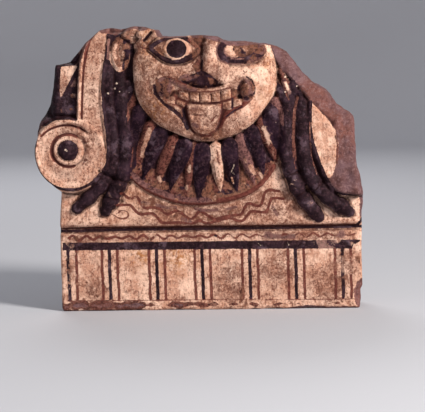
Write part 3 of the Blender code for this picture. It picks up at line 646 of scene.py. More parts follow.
def mask_depth():
    """How far inside the mask's edge, above its chin and between its cheeks."""
    depth = np.minimum((1 - SHARE) * FACE_HEIGHT / 2, inside(smooth_path(FACE_EDGES, 120)))
    return depth + 0.5 * front_noise(9, 34)


def make_face():
    """The mask's dome with full cheeks and a jaw, and folds beside the mouth."""
    cheeks = np.zeros(X.shape)
    spots(cheeks, [
        (-48, 125, 12, 2.2), (47, 123, 12, 2.4), (-35, 96, 11, 1), (33, 95, 11, 1.2), (-2, 79, 10, 0.8),
        (16, 140, 12, 1.2), (-28, 134, 10, 1), (-49, 143, 8, 0.8),
    ])
    edge = mask_depth()
    raise_to(EVERYWHERE, plateau(DOME + cheeks, edge, 2.2))
    cover(EVERYWHERE, edge, None)
    for field in (GRIME_AND_SHADE, WEAR, OCHRE):
        field *= 1 - cliff(edge, 2)
    # Grime and painted shade: the face grows darker towards its left, away from the light
    dirt_and_shade = np.clip(0.55 + front_noise(14, 35) - (X - 6) / 55, 0, 1.2)
    GRIME_AND_SHADE[:] += 0.90 * cliff(edge, 4) * dirt_and_shade
    spots(GRIME_AND_SHADE, [
        (47, 125, 16, -0.5), (43, 106, 9, -0.4), (6, 147, 6, -0.8), (-57.5, 118.9, 3, -1.0),
        (-56, 108.9, 3, -1.0), (-59.7, 131.3, 3, -0.8), (-24.2, 91.1, 6, 0.6), (18, 133, 6, 0.5),
        (48, 142, 7, 0.4), (-2, 78, 9, 0.9), (19, 84, 8, 0.8), (-40, 100, 12, 0.3),
    ])
    spots(OCHRE, [
        (-40, 104, 13, 0.6), (50, 113, 10, 0.4), (50, 140, 7, 0.5), (-48, 142, 12, 0.4), (5, 79, 9, 0.6),
    ])
    for fold in (
        [(-40, 133), (-45.8, 127), (-46.2, 119), (-42.5, 112)],
        [(37, 131), (42.5, 126), (43.2, 118), (39.5, 110)],
    ):
        press(fold, 2.2, 1.1, 16)


def make_eyes():
    """The bulges of the two almond eyes, then what is on each."""
    left = smooth_path([
        (-45.2, 152.5), (-41.3, 156.2), (-36.6, 159.4), (-31, 161.2), (-23.5, 161.6), (-16.6, 160.4),
        (-12.6, 157.9), (-8.5, 154.1), (-5.6, 150.1), (-11.2, 145), (-16.2, 142.5), (-23.2, 141.1),
        (-30, 141.6), (-35, 144), (-39.5, 147.6), (-45.2, 152.5),
    ], 75)
    right = smooth_path([
        (8.5, 150.5), (12, 155), (23, 158), (34, 158), (44, 154.5), (49, 149), (43.7, 142.8), (36, 139.9),
        (26.5, 139.1), (17.5, 140.2), (10.5, 144.3), (8.5, 150.5),
    ], 60)
    for outline in (left, right):
        where = window(outline, FAR)
        depth = inside(outline, where)
        HEIGHT[where] -= 1.4 * bell(np.clip(-depth, 0, None) - 2.2, 2.4) * (depth < 1)
        bulge = 3.8 * np.sqrt(np.clip(depth / 10, 0, 1))
        raise_to(where, DOME[where] - 1 + bulge - STEEP * np.clip(-depth, 0, None))
    make_left_eye(left)
    make_right_eye()


def make_left_eye(left):
    """The whole eye: dark lids, and a ring of slip around the dark iris."""
    lids = (1.9, 2.4, 2.1, 1.9, 1.7, 1.3, 2, 1.9, 1.7, 1.8, 2)
    bar(left, lids, DOME + 0.2, layer="dark", overlap=0.1)
    stroke([(-12.6, 159), (-8.8, 155.2), (-5.8, 151.2)], 1.4, "red", 12)
    stroke([(-18.5, 143), (-12.5, 145), (-8, 147.4)], 2.2, "dark", 12)
    stroke([(-43, 150.5), (-36, 145), (-29, 142.5)], 1.8, "dark", 12)
    fill([(-42, 152.4), (-36.2, 154.8), (-34.8, 149), (-37, 148.8)], "umber")
    spots(OCHRE, [(-37.5, 151.5, 4.5, 1.0)])
    spots(GRIME_AND_SHADE, [(-37.5, 152, 5, 0.7), (-11.5, 153, 4, -1.2), (-33, 145, 4, 0.5)])
    spots(WEAR, [(-38.5, 151.8, 5, 0.9)])
    iris = (-23.4, 151.8)
    lump(iris, (9.6, 8.5), DOME + 1.4, 1.6, None)
    where = window([iris], 20)
    share = in_ellipse(iris, (9.4, 8.3), where)[1]
    raise_to(where, DOME[where] + 3.6 - 20 * np.abs(share - 1.0), 0.6)
    GRIME_AND_SHADE[where] -= 1.2 * bell(share - 1.02, 0.12)
    lump(iris, (8.2, 7.3), DOME + 1.8, 1.4, "dark", 0.2)
    GRIME_AND_SHADE[where] -= 1.2 * bell(share**2, 1)


def make_right_eye():
    """The eye that has lost its middle and its upper lid."""
    ring = smooth_path([
        (17.2, 156.8), (13.2, 153), (12.4, 148.7), (14.4, 144.4), (19.2, 141.9), (26.7, 141), (34.5, 141.4),
        (40.8, 143.6), (45, 148), (44, 153),
    ])
    widths = (2.6, 3.8, 4, 3.4, 2.9, 2.7, 3, 3.6, 3.4)
    bar(ring, widths, DOME - 0.2, 0.7, "mauve", 0.2)
    where = window(ring, 4)
    GRIME_AND_SHADE[where] += 0.5 * bell(to_path(ring, where)[0], 3)
    stroke(ring[2:14], 2.7, "dark")
    mottle(np.vstack((ring[10:30] - (0.0, 2.4), ring[29:9:-1] + (0.0, 2.4))), "dark", 2.6, 64, 0.15)
    stroke(ring[12:35] + (0.2, -0.4), 1.5, "dark")
    stroke([(34.5, 140.2), (39.8, 142), (44, 145.5)], 1.1, "russet", 14)
    core = smooth_path([
        (20.5, 150), (22.8, 154.5), (29, 158), (39, 158), (42.5, 153), (40.5, 147.5), (34, 144.4),
        (26.2, 145), (20.5, 150),
    ])
    sink(core, 1.4, "mauve", 2, 1.2)
    where = window(core, 3)
    WEAR[where] += 0.7 * bell(X[where] - 30, 8) * bell(H[where] - 150, 4)
    fill([(26, 160), (27, 155.5), (33, 154), (40, 154.8), (47, 153), (47, 160)], "umber")
    outer = [(38, 158), (47, 156), (50, 149), (45, 142), (37, 140), (35, 143), (40, 149)]
    mottle(outer, "umber", 3.4, 61, 0.30)
    mottle(outer, "mauve", 2.6, 62, 0.10)
    mottle(outer, "dark", 2.8, 74, -0.20)
    mottle(core, "umber", 3, 63, 0.95)
    mottle(core, "dark", 2.4, 73, -0.50)
    spots(OCHRE, [(30, 154.5, 7, 0.6)])
    spots(WEAR, [(31, 155, 8, 0.2)])
    stroke([(20.8, 149), (24, 145.5), (30, 143.8), (35, 144.6), (39.5, 147.5)], 0.6, "dark", 20)
    stroke([(21.4, 155), (20.3, 150.5), (22.2, 146.4)], 1.8, None, 14)
    spots(GRIME_AND_SHADE, [(20.5, 150.5, 3.4, -1.2), (33, 133.5, 11, 0.45), (30, 154, 6, 0.7), (42, 149, 6, 1.0)])


def make_brow():
    """The end of the left brow, split by a crack, and the bare edge of the forehead."""
    lumpy = [(-70, 164), (-64, 170), (-56, 170), (-53, 160), (-59, 156), (-66, 159)]
    where, depth = bench(lumpy, 7.5, "umber", 3, smooth=True)
    HEIGHT[where] += cliff(depth, 3) * 1.6 * front_noise(6, 44)[where]
    WEAR[where] += 0.8 * cliff(depth, 2)
    brow = smooth_path([(-56.8, 154.5), (-50, 159), (-44, 162.5), (-36.5, 164)])
    where, distance, _ = bar(brow, (2, 4.6, 5, 4), (8, 9, 9.8, 10), layer=None)
    GRIME_AND_SHADE[where] += 0.6 * bell(distance, 5) * (X[where] < -44)
    bar([(-53, 164), (-49, 167.2)], (3.6, 3.6), 8.8, layer=None)
    crack = [(-50.4, 159.2), (-47.5, 162.2), (-44.8, 165.5)]
    press(crack, 1.4, 4.6, 12)
    stroke(crack, 1.3, "dark", 12)
    stroke([(-56, 154.5), (-51, 153), (-46.2, 152.5)], 0.8, "russet", 12)
    spots(OCHRE, [(-50.5, 166, 5, 0.8), (-48, 156, 6, 0.8)])
    forehead = [(-14, 164), (-11, 160), (-4, 156), (6, 157.2), (12, 156), (16, 160), (16, 164)]
    mottle(forehead, "umber", 4, 65, 0.55)
    mottle(forehead, "bare", 3, 66, -0.20)


def make_ear():
    """The ear under the end of the brow: a painted hollow with a rim."""
    centre = (-70.7, 147.4)
    lump(centre, (7.7, 13.4), 6.2, 2.4, "umber")
    where = window([centre], 20)
    _, share = in_ellipse(centre, (7.1, 12.6), where)
    lit_side = np.clip(0.5 - (X[where] - centre[0]) / 8 - (H[where] - centre[1]) / 20, 0, 1)
    raise_to(where, 10.4 - 30 * np.abs(share - 0.84) - 4 * (1 - lit_side), 0.8)
    within = bell(share**2, 0.72**2)
    HEIGHT[where] += within * (1.8 * front_noise(5, 45)[where] - 1.6)
    WEAR[where] += 0.75 * within
    rim = [(-74, 159), (-77.6, 153), (-78.2, 146), (-76.2, 139.8), (-72.8, 135.8), (-70, 136)]
    # Partly painted light and shade: slip on the left rim, where the light falls, and dark paint on the
    # right side
    stroke(rim, 1.6, None, 24)
    stroke([(-73.5, 156), (-75.2, 150), (-74.2, 145)], 0.9, None, 12)
    stroke([(-66.8, 159), (-66, 153), (-65, 145)], 1.7, "dark", 12)
    stroke([(-80, 160), (-80.3, 152), (-80.8, 145)], 1, "mauve", 12)
    press([(-70.5, 156), (-71.2, 149), (-70, 143)], 1.3, 1.6, 12)
    mottle([(-79, 153), (-74, 162), (-64, 162), (-62, 150), (-70, 148)], "umber", 3.2, 67, 0.10)
    mottle([(-68, 160), (-62, 160), (-62, 135), (-69.5, 135), (-68, 148)], "dark", 3, 68, 0.05)


def make_nose():
    """A straight bridge that runs smoothly into the right cheek, above the dark scar of the lost tip."""
    # Painted shade on the left side of the bridge: russet with umber mottles, edged by a dark line
    shade = [
        (-13, 160.2), (-2.6, 160.2), (-3, 146.7), (-3.6, 132.2), (-8.1, 131.8), (-10.8, 137.9), (-6.4, 144),
        (-5, 150), (-9, 154.8),
    ]
    fill(shade, "russet")
    mottle([(-12, 160), (-2, 160), (-2, 134), (-9.5, 134)], "umber", 3, 87, 0.45)
    bridge = smooth_path([(5.2, 172), (4.2, 150), (2.4, 134)])
    bar(bridge, (6, 5.6, 6), DOME - 0.4, 0.85, soft=3)
    slope = smooth_path([(10, 144), (11.5, 137), (12.5, 129)])
    bar(slope, (5, 7, 6), DOME - 2, 0.6, soft=7)
    lump((-15, 126.2), (7.2, 4.6), DOME - 0.4, 3.4, "mauve", 0.6)
    lump((-2.4, 127.2), (10, 8.2), DOME, 4.6)
    scar = smooth_path([
        (-20.7, 125.8), (-14.8, 129.2), (-8.6, 131.8), (-2.4, 133.6), (3.3, 130.8), (8.1, 126.2),
        (13.2, 121.4), (8, 119.8), (2, 118.8), (-5.2, 118.8), (-10.9, 120), (-16.6, 122.8), (-20.7, 125.8),
    ], 48)
    sink(scar, 1.4, "umber", 2, 1.2)
    mottle(scar, "dark", 3.4, 78, 0.15)
    where = window(scar, 1)
    WEAR[where] -= 0.5 * cliff(inside(scar, where), 1)
    GRIME_AND_SHADE[where] += 0.5 * cliff(inside(scar, where), 1)
    for points, half, layer in (
        ([(-19, 125), (-13.5, 122.4), (-8.5, 120.8), (-2, 120.4)], 1.7, "dark"),
        ([(-2, 120.4), (5, 120.8), (12.8, 121.3)], 1.3, "dark"),
        ([(-7, 131.8), (-2, 132.2), (3, 129.6), (7.6, 125.6), (10.4, 122.8)], 1.2, "dark"),
        ([(-5.8, 126.8), (-4, 122.5), (0, 121.5)], 2.6, "dark"),
        ([(-4, 131), (-3, 128)], 1.6, "dark"),
        ([(-15, 126.8), (-11.5, 128.2), (-8, 129)], 1.4, "mauve"),
        ([(-10.5, 125.8), (-4, 126.2), (2, 124.6)], 1.7, "dark"),
        ([(3.6, 126.6), (6.6, 124.2)], 1.4, "umber"),
        ([(10.3, 124), (11.2, 123.5)], 0.6, "fleck"),
        # The dark line down the left edge of the bridge is painted shade
        ([(-2.6, 142), (-3, 138), (-3.6, 133)], 0.9, "dark"),
    ):
        stroke(points, half, layer, 14)
    press([(-19, 124.4), (-12, 121.2), (-3, 119.8), (6, 120.4), (12.5, 121.4)], 1.1, 2.6, 20)
    press([(-3, 159), (-3.4, 148), (-4, 134)], 1.4, 0.7, 16)


def tooth(left, right, top, bottom, rise=0.0):
    """One tooth with a full front and rounded edges, between its corners."""
    corners = np.array([(left, top[0]), (right, top[1]), (right, bottom[1]), (left, bottom[0])])
    where = window(corners, FAR)
    depth = inside(corners, where)
    swell = 0.6 * np.sqrt(np.clip(depth / 2.2, 0, 1)) + rise
    raise_to(where, DOME[where] - 1.2 + swell - 3 * np.clip(0.9 - depth, 0, None), 0.5)
    cover(where, depth - 0.2, None)


def make_mouth():
    """The grinning mouth: its floor and the folds of the cheeks, then the parts in it."""
    mouth = smooth_path([
        (-38, 116), (-30, 118), (-20.4, 118), (-0.8, 115.5), (22.1, 119), (33, 111), (31, 105.5),
        (20, 99.5), (12.5, 90), (7, 83.5), (-8, 81.5), (-15.5, 86.5), (-21.5, 96.2), (-31, 104.5),
        (-38, 116),
    ], 80)
    where = window(mouth, FAR)
    depth = inside(mouth, where)
    HEIGHT[where] -= cliff(depth - 1, 3) * 2.6
    cover(where, depth, "umber")
    WEAR[where] += 0.35 * cliff(depth, 2)
    for path, halves in (
        ([(-38.5, 115), (-34.5, 110.5), (-29, 105.8), (-24, 102), (-20, 96.8), (-17.8, 90.5), (-16, 85)],
          (1.4, 2.4, 2.8, 2.2, 1.2)),
        ([(34.5, 111), (30.4, 107.2), (24.5, 103.2), (18.6, 99.4), (14.8, 93.7), (11.5, 87), (9.5, 83)],
          (1.4, 2.2, 2.6, 2.2, 1.2)),
    ):
        bar(smooth_path(path), halves, DOME - 1.4, 0.5, soft=2)
    for points, half, layer in (
        ([(-42.3, 116.2), (-38.3, 111.2), (-32.7, 105.4), (-27, 101.2), (-22.1, 97), (-18.9, 92),
          (-16.6, 86.2)], 1.2, "dark"),
        ([(-33, 106.2), (-27, 102), (-22.1, 97.8)], 1.5, "dark"),
        ([(35.6, 110), (29.8, 105.1), (23.2, 101.6), (17.4, 98), (13.2, 93.1), (9.7, 85.8)], 1.9, "red"),
        ([(33, 108.6), (27, 104), (20, 100.4)], 1.6, "red"),
        ([(29, 104), (22, 100.4), (16, 96)], 0.7, "dark"),
        ([(-32, 111), (-27.5, 106.2), (-22.5, 102.2)], 1, None),
        ([(-34.5, 113), (-30, 108.5)], 0.9, "russet"),
        ([(-19, 106.8), (-18.6, 100), (-17.6, 93.5), (-15.5, 87.5)], 1.5, "dark"),
        ([(15.2, 103.5), (14.6, 98.5), (12.5, 92), (9.6, 86.2)], 1.2, "red"),
    ):
        stroke(points, half, layer, 24)
    press([(-38.3, 111.2), (-32.7, 105.4), (-22.1, 97), (-16.6, 86.2)], 1.2, 0.8, 24)
    upper = make_upper_lip()
    make_teeth()
    tongue = make_tongue()
    make_mouth_corners()
    wear_mouth(upper, tongue)


def make_upper_lip():
    """The upper lip: slip with a mauve middle line, and a red line above it."""
    upper = smooth_path([
        (-33, 128), (-26, 125), (-19, 121.3), (-11, 118.6), (-4, 117.4), (4.8, 117.6), (13, 119.2),
        (21.5, 121.6), (27, 124.5),
    ])
    widths = (1.4, 2.6, 2.6, 2, 1.7, 1.6, 1.8, 2.2, 2.4)
    bar(upper, widths, DOME - 0.4, 0.8, None, 0.3)
    stroke(upper[2:17], 2.1, "mauve")
    where = window(upper, 4)
    along = bell(to_path(upper, where)[0], 3)
    WEAR[where] += 0.15 * along
    GRIME_AND_SHADE[where] += 0.70 * along
    stroke(np.vstack(([(-40, 126.2), (-34.5, 129.2)], upper[2:12] + (0.6, 2.2))), 0.8, "red", 30)
    stroke([(-34.5, 129.2), (-24, 126.2)], 0.6, "dark")
    return upper


def make_teeth():
    """The row of five upper teeth, and two lower teeth on each side of the tongue."""
    edges = (-22.7, -14.1, -5.5, 3.9, 11.7, 20.4)
    tops = (117.8, 116.5, 115.9, 116.2, 117.3, 119.1)
    bottoms = (111.6, 108.8, 107.4, 107.3, 108.4, 110.7)
    for step in range(len(edges) - 1):
        tooth(edges[step] + 0.1, edges[step + 1] - 0.1, tops[step:step + 2], bottoms[step:step + 2])
    for edge, top, bottom in zip(edges, tops, bottoms):
        stroke([(edge, top), (edge + 0.1, bottom)], 0.5, "red")
    over = [(x, h + 0.6) for x, h in zip(edges, tops)]
    under = [(x, h - 0.3) for x, h in zip((-26.2, *edges, 23.2), (112.8, *bottoms, 112.2))]
    stroke(over, 0.6, "red", 40)
    stroke(under, 0.9, "red", 40)
    for left, right, top, bottom in (
        (-31.8, -25.4, (113.8, 113.2), (108, 106.2)),
        (-24.4, -17.2, (110.4, 108), (106.2, 103.6)),
        (13.4, 20.8, (107.2, 109), (102, 101.2)),
        (21.4, 28.6, (109.4, 110.4), (103, 105.4)),
    ):
        tooth(left, right, top, bottom, -0.4)
        stroke([(left, bottom[0] - 0.2), (right, bottom[1] - 0.2)], 0.5, "red")
        spots(GRIME_AND_SHADE, [((left + right) / 2, (top[0] + bottom[1]) / 2, 4, 0.5)])
    stroke([(-24.9, 113.5), (-25, 107.2)], 0.7, "red")
    stroke([(21.1, 110.5), (21, 103)], 1, "dark")
    stroke([(-26.2, 118), (-25.8, 113)], 0.6, "red")


def make_tongue():
    """The tongue, which hangs out over the chin."""
    tongue = smooth_path([
        (-16.8, 106.8), (-16.1, 100.4), (-15.1, 93.8), (-13.2, 87.2), (-9.2, 82.4), (-3.4, 80.2), (3.3, 81),
        (7.7, 85.2), (10.3, 91.7), (12.1, 99.1), (12.8, 106.2),
    ], 60)
    where = window(tongue, FAR)
    depth = inside(tongue, where)
    raise_to(where, DOME[where] + 2.2 - 3.5 * np.clip(1.2 - depth, 0, None), 0.8)
    cover(where, depth, None)
    stroke(tongue, 1.1, "red")
    GRIME_AND_SHADE[where] += 0.50 * cliff(depth, 2)
    for points, half, layer in (
        ([(-13.6, 98.5), (-9, 97.6), (-4, 97.8), (-0.5, 96.8)], 0.5, "russet"),
        ([(4, 92.2), (5.8, 95), (8.5, 97.6)], 0.6, "red"),
        ([(-10.8, 90.2), (-8.2, 88.6)], 1.8, "mauve"),
        ([(-3, 85.2), (-4.6, 84.6)], 0.8, "umber"),
        ([(0, 86.6), (0.4, 86.4)], 0.8, "umber"),
        ([(8.2, 90), (9, 88.5)], 0.7, "umber"),
        ([(-12, 83.8), (-4, 81.6), (3, 82.6), (6.2, 85.2)], 0.6, "red"),
    ):
        stroke(points, half, layer, 12)
    press([(-13.6, 98.5), (-7, 97.7), (-0.5, 96.8)], 0.7, 0.9, 12)
    press([(4, 92.2), (8.5, 97.6)], 0.7, 0.9)
    return tongue


def make_mouth_corners():
    """The painted lumps at the corners of the mouth, and the dark folds around them."""
    for centre, radii, wear in (((-35, 120.7), (7.8, 8.4), 0.0), ((32.6, 117.8), (7.2, 10.4), 0.3)):
        where, _, share = lump(centre, radii, DOME - 0.8, 3.2, "mauve", -0.4)
        within = bell(share**2, 1)
        HEIGHT[where] += 1.3 * within * front_noise(4.5, 46)[where]
        GRIME_AND_SHADE[where] += within
        WEAR[where] += wear * within
    for points, half, depth in (
        ([(29.6, 123.6), (26.8, 118), (27.4, 112.8)], 1.7, 3.4),
        ([(27.8, 112), (32.4, 110.6), (36.2, 112.2)], 1.7, 2.6),
        ([(33, 128), (37.4, 125), (39.4, 119), (39, 114)], 0.8, 0.8),
        ([(-42.4, 122.5), (-41.8, 117.5), (-39, 113)], 1.2, 1),
        ([(-37.2, 119), (-34.5, 117.6)], 1.6, 0.6),
        ([(-37.8, 124), (-37.2, 122)], 1.2, 0.4),
    ):
        stroke(points, half, "dark", 14)
        press(points, half, depth, 14)
    stroke([(32.6, 121.5), (33.8, 119)], 1.4, None)


def wear_mouth(upper, tongue):
    """The ragged blotches of paint and stain in and around the mouth."""
    corner = [(-41.5, 129), (-33, 130), (-23, 125), (-25, 116), (-33, 110), (-40, 115)]
    pit = [(-41.5, 123), (-36, 124), (-29, 115), (-33, 108.5), (-40, 113)]
    low = [(-34, 114), (-20, 109), (-19, 101), (-24.5, 103), (-34, 109.5)]
    other = [(27, 123), (34, 127.5), (39.5, 120), (38, 110), (30, 110)]
    row = [(-26, 118), (-5, 116), (21, 119), (23, 110), (-5, 107), (-26, 112)]
    for outline, layer, cell, seed, share in (
        (corner, "umber", 3.4, 69, 0.20), (other, "umber", 3, 71, -0.10), (pit, "dark", 3, 79, -0.20),
        (low, "umber", 2.4, 88, -0.35),
        (row[:2] + [(-5, 113), (-25, 112.5)], "mauve", 2.2, 80, -0.40),
        (row, "red", 2, 72, -0.90), (tongue, "mauve", 3, 75, -0.80),
        (upper + (0.0, 0.4), "umber", 2, 76, -0.30),
    ):
        mottle(outline, layer, cell, seed, share)
    stroke([(-38.5, 111.6), (-32.7, 105.4), (-27, 101.2), (-22.1, 97)], 1.2, "dark", 20)
    spots(GRIME_AND_SHADE, [(x, 112.5, 5, 0.35) for x in (-18, -6, 6, 18)])
    spots(OCHRE, [(x, 112.5, 5, 0.5) for x in (-18, -6, 6, 18)])
    mottle([
        (-22, 86), (-13, 87), (0, 80), (12, 87), (20, 84), (12, 76.5), (-13, 77),
    ], "umber", 2.6, 77, -0.35)


def make_field_paint():
    """The painted wavy lines below the beard and the small curl beside them."""
    upper = [
        (-72.7, 33.1), (-67, 28.9), (-60.3, 29.6), (-57.8, 25.4), (-53.8, 20.3), (-47.9, 21), (-41.3, 19.3),
        (-35.5, 15), (-31.3, 16.6), (-26.3, 17.4), (-21.4, 14), (-16.4, 10.6), (-12.2, 13), (-8, 17.1),
        (-2.2, 13.7), (3.6, 10.3), (10.3, 11.9), (21.9, 13.4), (26.1, 14.1), (28.7, 19.1), (32.1, 23.2),
        (37, 21.5), (41.2, 20.6), (43.7, 23.9), (45.5, 30.5), (48.9, 33.8), (58, 32.8),
    ]
    lower = [
        (-76.3, 23.1), (-66.3, 23), (-63, 19.6), (-58.1, 15.3), (-48, 16), (-43.9, 12.6), (-39, 8),
        (-26.5, 8.2), (-14.8, 7.2), (-8.1, 9.2), (-1.5, 7), (15.2, 11), (23.5, 8.8), (27.7, 9.1),
        (31.9, 14.1), (35.3, 16.5), (46.1, 15.5), (48.6, 19.7), (51.2, 26.3), (55.4, 27.1), (61.2, 26.1),
    ]
    worn = [(-60, 32), (-30, 22.5), (0, 20.5), (22, 20), (20, 9), (-30, 8.5), (-52, 18)]
    mottle(worn, "umber", 2.4, 89, -0.15)
    for line in (upper, lower):
        stroke(line, 1.3, "red", len(line) * 4)
    curl = [
        (-81.5, 15.7), (-77.4, 13.1), (-74, 11.8), (-69.8, 12.2), (-67.7, 15.1), (-69.7, 18), (-73.9, 18.5),
        (-76.4, 16.4),
    ]
    stroke(curl, 0.7, "red", 30)
    for smudge in (
        [(-44, 23.2), (-36, 20.5), (-28, 20.5)],
        [(-12, 19), (-1, 17.8), (8, 18)],
        [(-23, 11), (-16, 8.5)],
        [(14, 18.5), (22, 20)],
        [(52, 20), (56, 13)],
        [(-56, 25), (-50, 24)],
    ):
        stroke(smudge, 1.4, "mauve", 12)
        spots(WEAR, [(x, h, 5, 0.55) for x, h in smudge])
    spots(GRIME_AND_SHADE, [(x, 16 + 0.2 * abs(x), 11, 0.55) for x in np.arange(-54, 58, 10)])


def make_base_paint():
    """The black band and the triple upright lines of the base, and its worn lower edge."""
    band = [(-123.6, -7.6), (124.2, -8.3), (124.2, -15.8), (0, -14.9), (-123.6, -14.3)]
    wave_x = np.linspace(-118, 120, 200)
    swing = 1.3 + 0.6 * np.sin(wave_x * 0.097)
    wave = np.stack((wave_x, -4 + swing * np.sin(wave_x * math.tau / 11.8)), 1)
    stroke(wave[:60], 1.2, "red")
    stroke(wave[62:110], 1, "red")
    stroke(wave[105:], 0.8, "red")
    stroke([(-52, -7), (-50, -6)], 1, "umber")
    stroke([(3.8, -3.6), (5.2, -3.6)], 0.9, "dark")
    spots(WEAR, [(x, -4, 5, 0.5) for x in (-50, -20, 30, 55, 80, 105)])
    for left, right, layer, cell, seed, share in (
        (-123, -85, "umber", 3, 82, -0.55), (-40, -27, "mauve", 2.6, 83, -0.10),
        (28, 122, "mauve", 4.4, 81, -0.20),
    ):
        mottle([(left, -0.5), (right, -0.5), (right, -7), (left, -7)], layer, cell, seed, share)
    spots(GRIME_AND_SHADE, [(x, -3.5, 6, 0.9) for x in (50, 62, 74, 86, 98, -110, -95, -62, -15)])
    lean = 0.6
    upright = ((0, 1.5, "dark", 100), (-6.3, 1.3, "red", 37), (6.7, 1.3, "red", 167))
    for number, x in enumerate((-119.1, -84.6, -45.2, -7.1, 32.3, 70.6, 109.3)):
        for away, half, layer, seed in upright:
            if x + away > -120:
                line = wavering((x + away, -14), (x + away + lean, -56.3), (number, seed))
                stroke(line, half, layer)
    fill(band, "dark")
    mottle([(88, -8.5), (108, -8.5), (106, -15.5), (90, -15.5)], "mauve", 6, 84, 0.20)
    fill([(117, -17), (119, -12.5), (123, -10.5), (127, -10), (127, -17)], None)
    mottle([(112, -22), (124, -22), (124, -37), (112, -37)], "umber", 2.8, 85, -0.30)
    mottle([(23.5, -44), (27, -44), (31, -64), (23, -64)], "umber", 2.6, 86, 0.10)
    for x, h in ((-96, -52.7), (-107, -55.2), (107.9, -59), (-94, -59)):
        stroke([(x, h), (x + 0.8, h - 1.2)], 1, "umber")
    stroke([(-121, -56.6), (120, -57.9)], 0.5, "red")
    where = window([(-124, -61.5), (125, -61.5)], 6)
    patchy = front_noise(8, 47)[where] + front_noise(3, 48)[where]
    patchy -= np.clip((X[where] + 30) / 55, -0.7, 1.7)
    strip = 2 - np.abs(H[where] + 61.2) + 1.8 * patchy
    cover(where, np.clip(strip, -FAR, 2), "russet")
    cover(where, strip - 2.6, "bare")
    edge_strip = -65 - H[where] + 1.2 * patchy
    cover(where, edge_strip, "russet")


def make_marks():
    """Chips, flecks, stains and the worn places."""
    flecks = [
        (-73.9, 124.4, 0.9), (-75.7, 120.3, 0.9), (-71.4, 117.8, 0.7), (-73, 121.5, 0.5), (-81.3, 116.3, 1),
        (-63.8, 95.9, 0.6), (-69, 62, 0.4), (64.5, 127.3, 1), (67.2, 125.6, 0.9), (74, 119.5, 0.8),
        (64.3, 115, 0.9), (-117.2, 70.5, 1.1), (-116, 69.8, 0.8), (20, 56, 0.4), (87, 52, 0.4),
        (13.6, 123.6, 0.6), (-64, 117, 0.5), (56, 90, 0.4), (70, 80, 0.4), (-67, 43, 0.5),
    ]
    for x, h, radius in flecks:
        where = window([(x, h)], FAR)
        cover(where, radius - np.hypot(X[where] - x, H[where] - h), "fleck")
    for scratch in (
        [(39.8, -10.3), (42.5, -12.8)],
        [(47, -15), (49.7, -17.9)],
        [(17.9, -27.6), (16.5, -33), (13.5, -35.9)],
        [(64, -10), (65.2, -12.5)],
        [(21.5, 56), (19, 50)],
        [(18.8, 50), (21, 48)],
        [(-85.5, -48), (-83, -51)],
    ):
        stroke(scratch, 0.4, "fleck")
    stroke([(19, 45), (20.2, 40)], 0.7, None)
    spots(OCHRE, [
        (-58.8, -19.9, 9, 0.9), (-27.1, -21.1, 13, 0.9), (-50, 24, 20, 0.3), (19.6, 42.5, 1.5, 1.0),
        (-42, 80, 10, 0.4), (5, 38, 5, 0.6), (-25, 38, 6, 0.5), (-44, 100, 10, 0.5),
    ])
    spots(GRIME_AND_SHADE, [
        (101.5, -50, 7, 1.2), (16, -53, 7, 1.2), (-98, -50, 6, 0.8), (58, 16, 12, 0.9), (68, 19, 14, 0.4),
        (111.8, -25.4, 11, 0.7), (97, -44, 17, 1.1), (15, -40, 15, 1.0), (56, -33, 17, 0.9),
        (-95, -45, 13, 0.5), (90, -20, 10, -0.9), (-60, -33, 10, -0.6), (0, -25, 9, -0.6),
        (-28, -38, 11, -0.5), (-8, 93, 11, 0.6), (-34, 120.5, 8, 0.7), (33, 118, 8, 0.7),
        (-72, 148, 8, 0.6), (-45, 18, 11, 0.6), (4.5, 16.1, 8, 0.6), (-119, -30, 6, 0.7),
        (-121, 15, 7, 0.4), (-25, 126, 7, 0.5), (2, 160, 8, 0.7), (-112, 86, 8, 0.5), (-30, 22, 15, 0.5),
    ])
    spots(WEAR, [
        (-82, 34, 5, 0.3), (-108, 23, 6, 0.4), (86, 20, 8, 0.4), (70, 36, 8, 0.3), (-118, -11, 8, 0.55),
        (102, -11, 6, 0.7), (122.5, -12, 5, 0.8), (115.9, -30, 12, 0.9), (102.8, -30, 12, 0.6),
        (-119.1, -35, 16, 0.8), (-65, 30, 8, 0.5), (-3, 126, 5, 0.6),
    ])
    where = window([(129, -54)], 30)
    _, share = in_ellipse((129, -54), (10, 13.5), where)
    HEIGHT[where] -= 6 * dome(share)
    cover(where, (1 - share) * 9.5 + 0.6, "bare")


def resampled(points, spacing):
    """Points every `spacing` along a closed line of (x, h, brokenness)."""
    closed = np.vstack((points, points[:1]))
    lengths = np.r_[0.0, np.cumsum(np.hypot(*np.diff(closed[:, :2], axis=0).T))]
    at = np.arange(0.0, lengths[-1], spacing)
    return np.stack([np.interp(at, lengths, column) for column in closed.T], 1)


def outline_left():
    """The outline of what is left, as dense points of (x, h, brokenness)."""
    volute = arc(VOLUTE_CENTRE, VOLUTE_RADIUS, *VOLUTE_SWEEP, 14)
    points = OUTLINE + [(x, h, 0.2) for x, h in volute] + [(x, h, 1.0) for x, h in BROKEN_EDGE] + OUTLINE_END
    return resampled(np.array(points), OUTLINE_STEP)


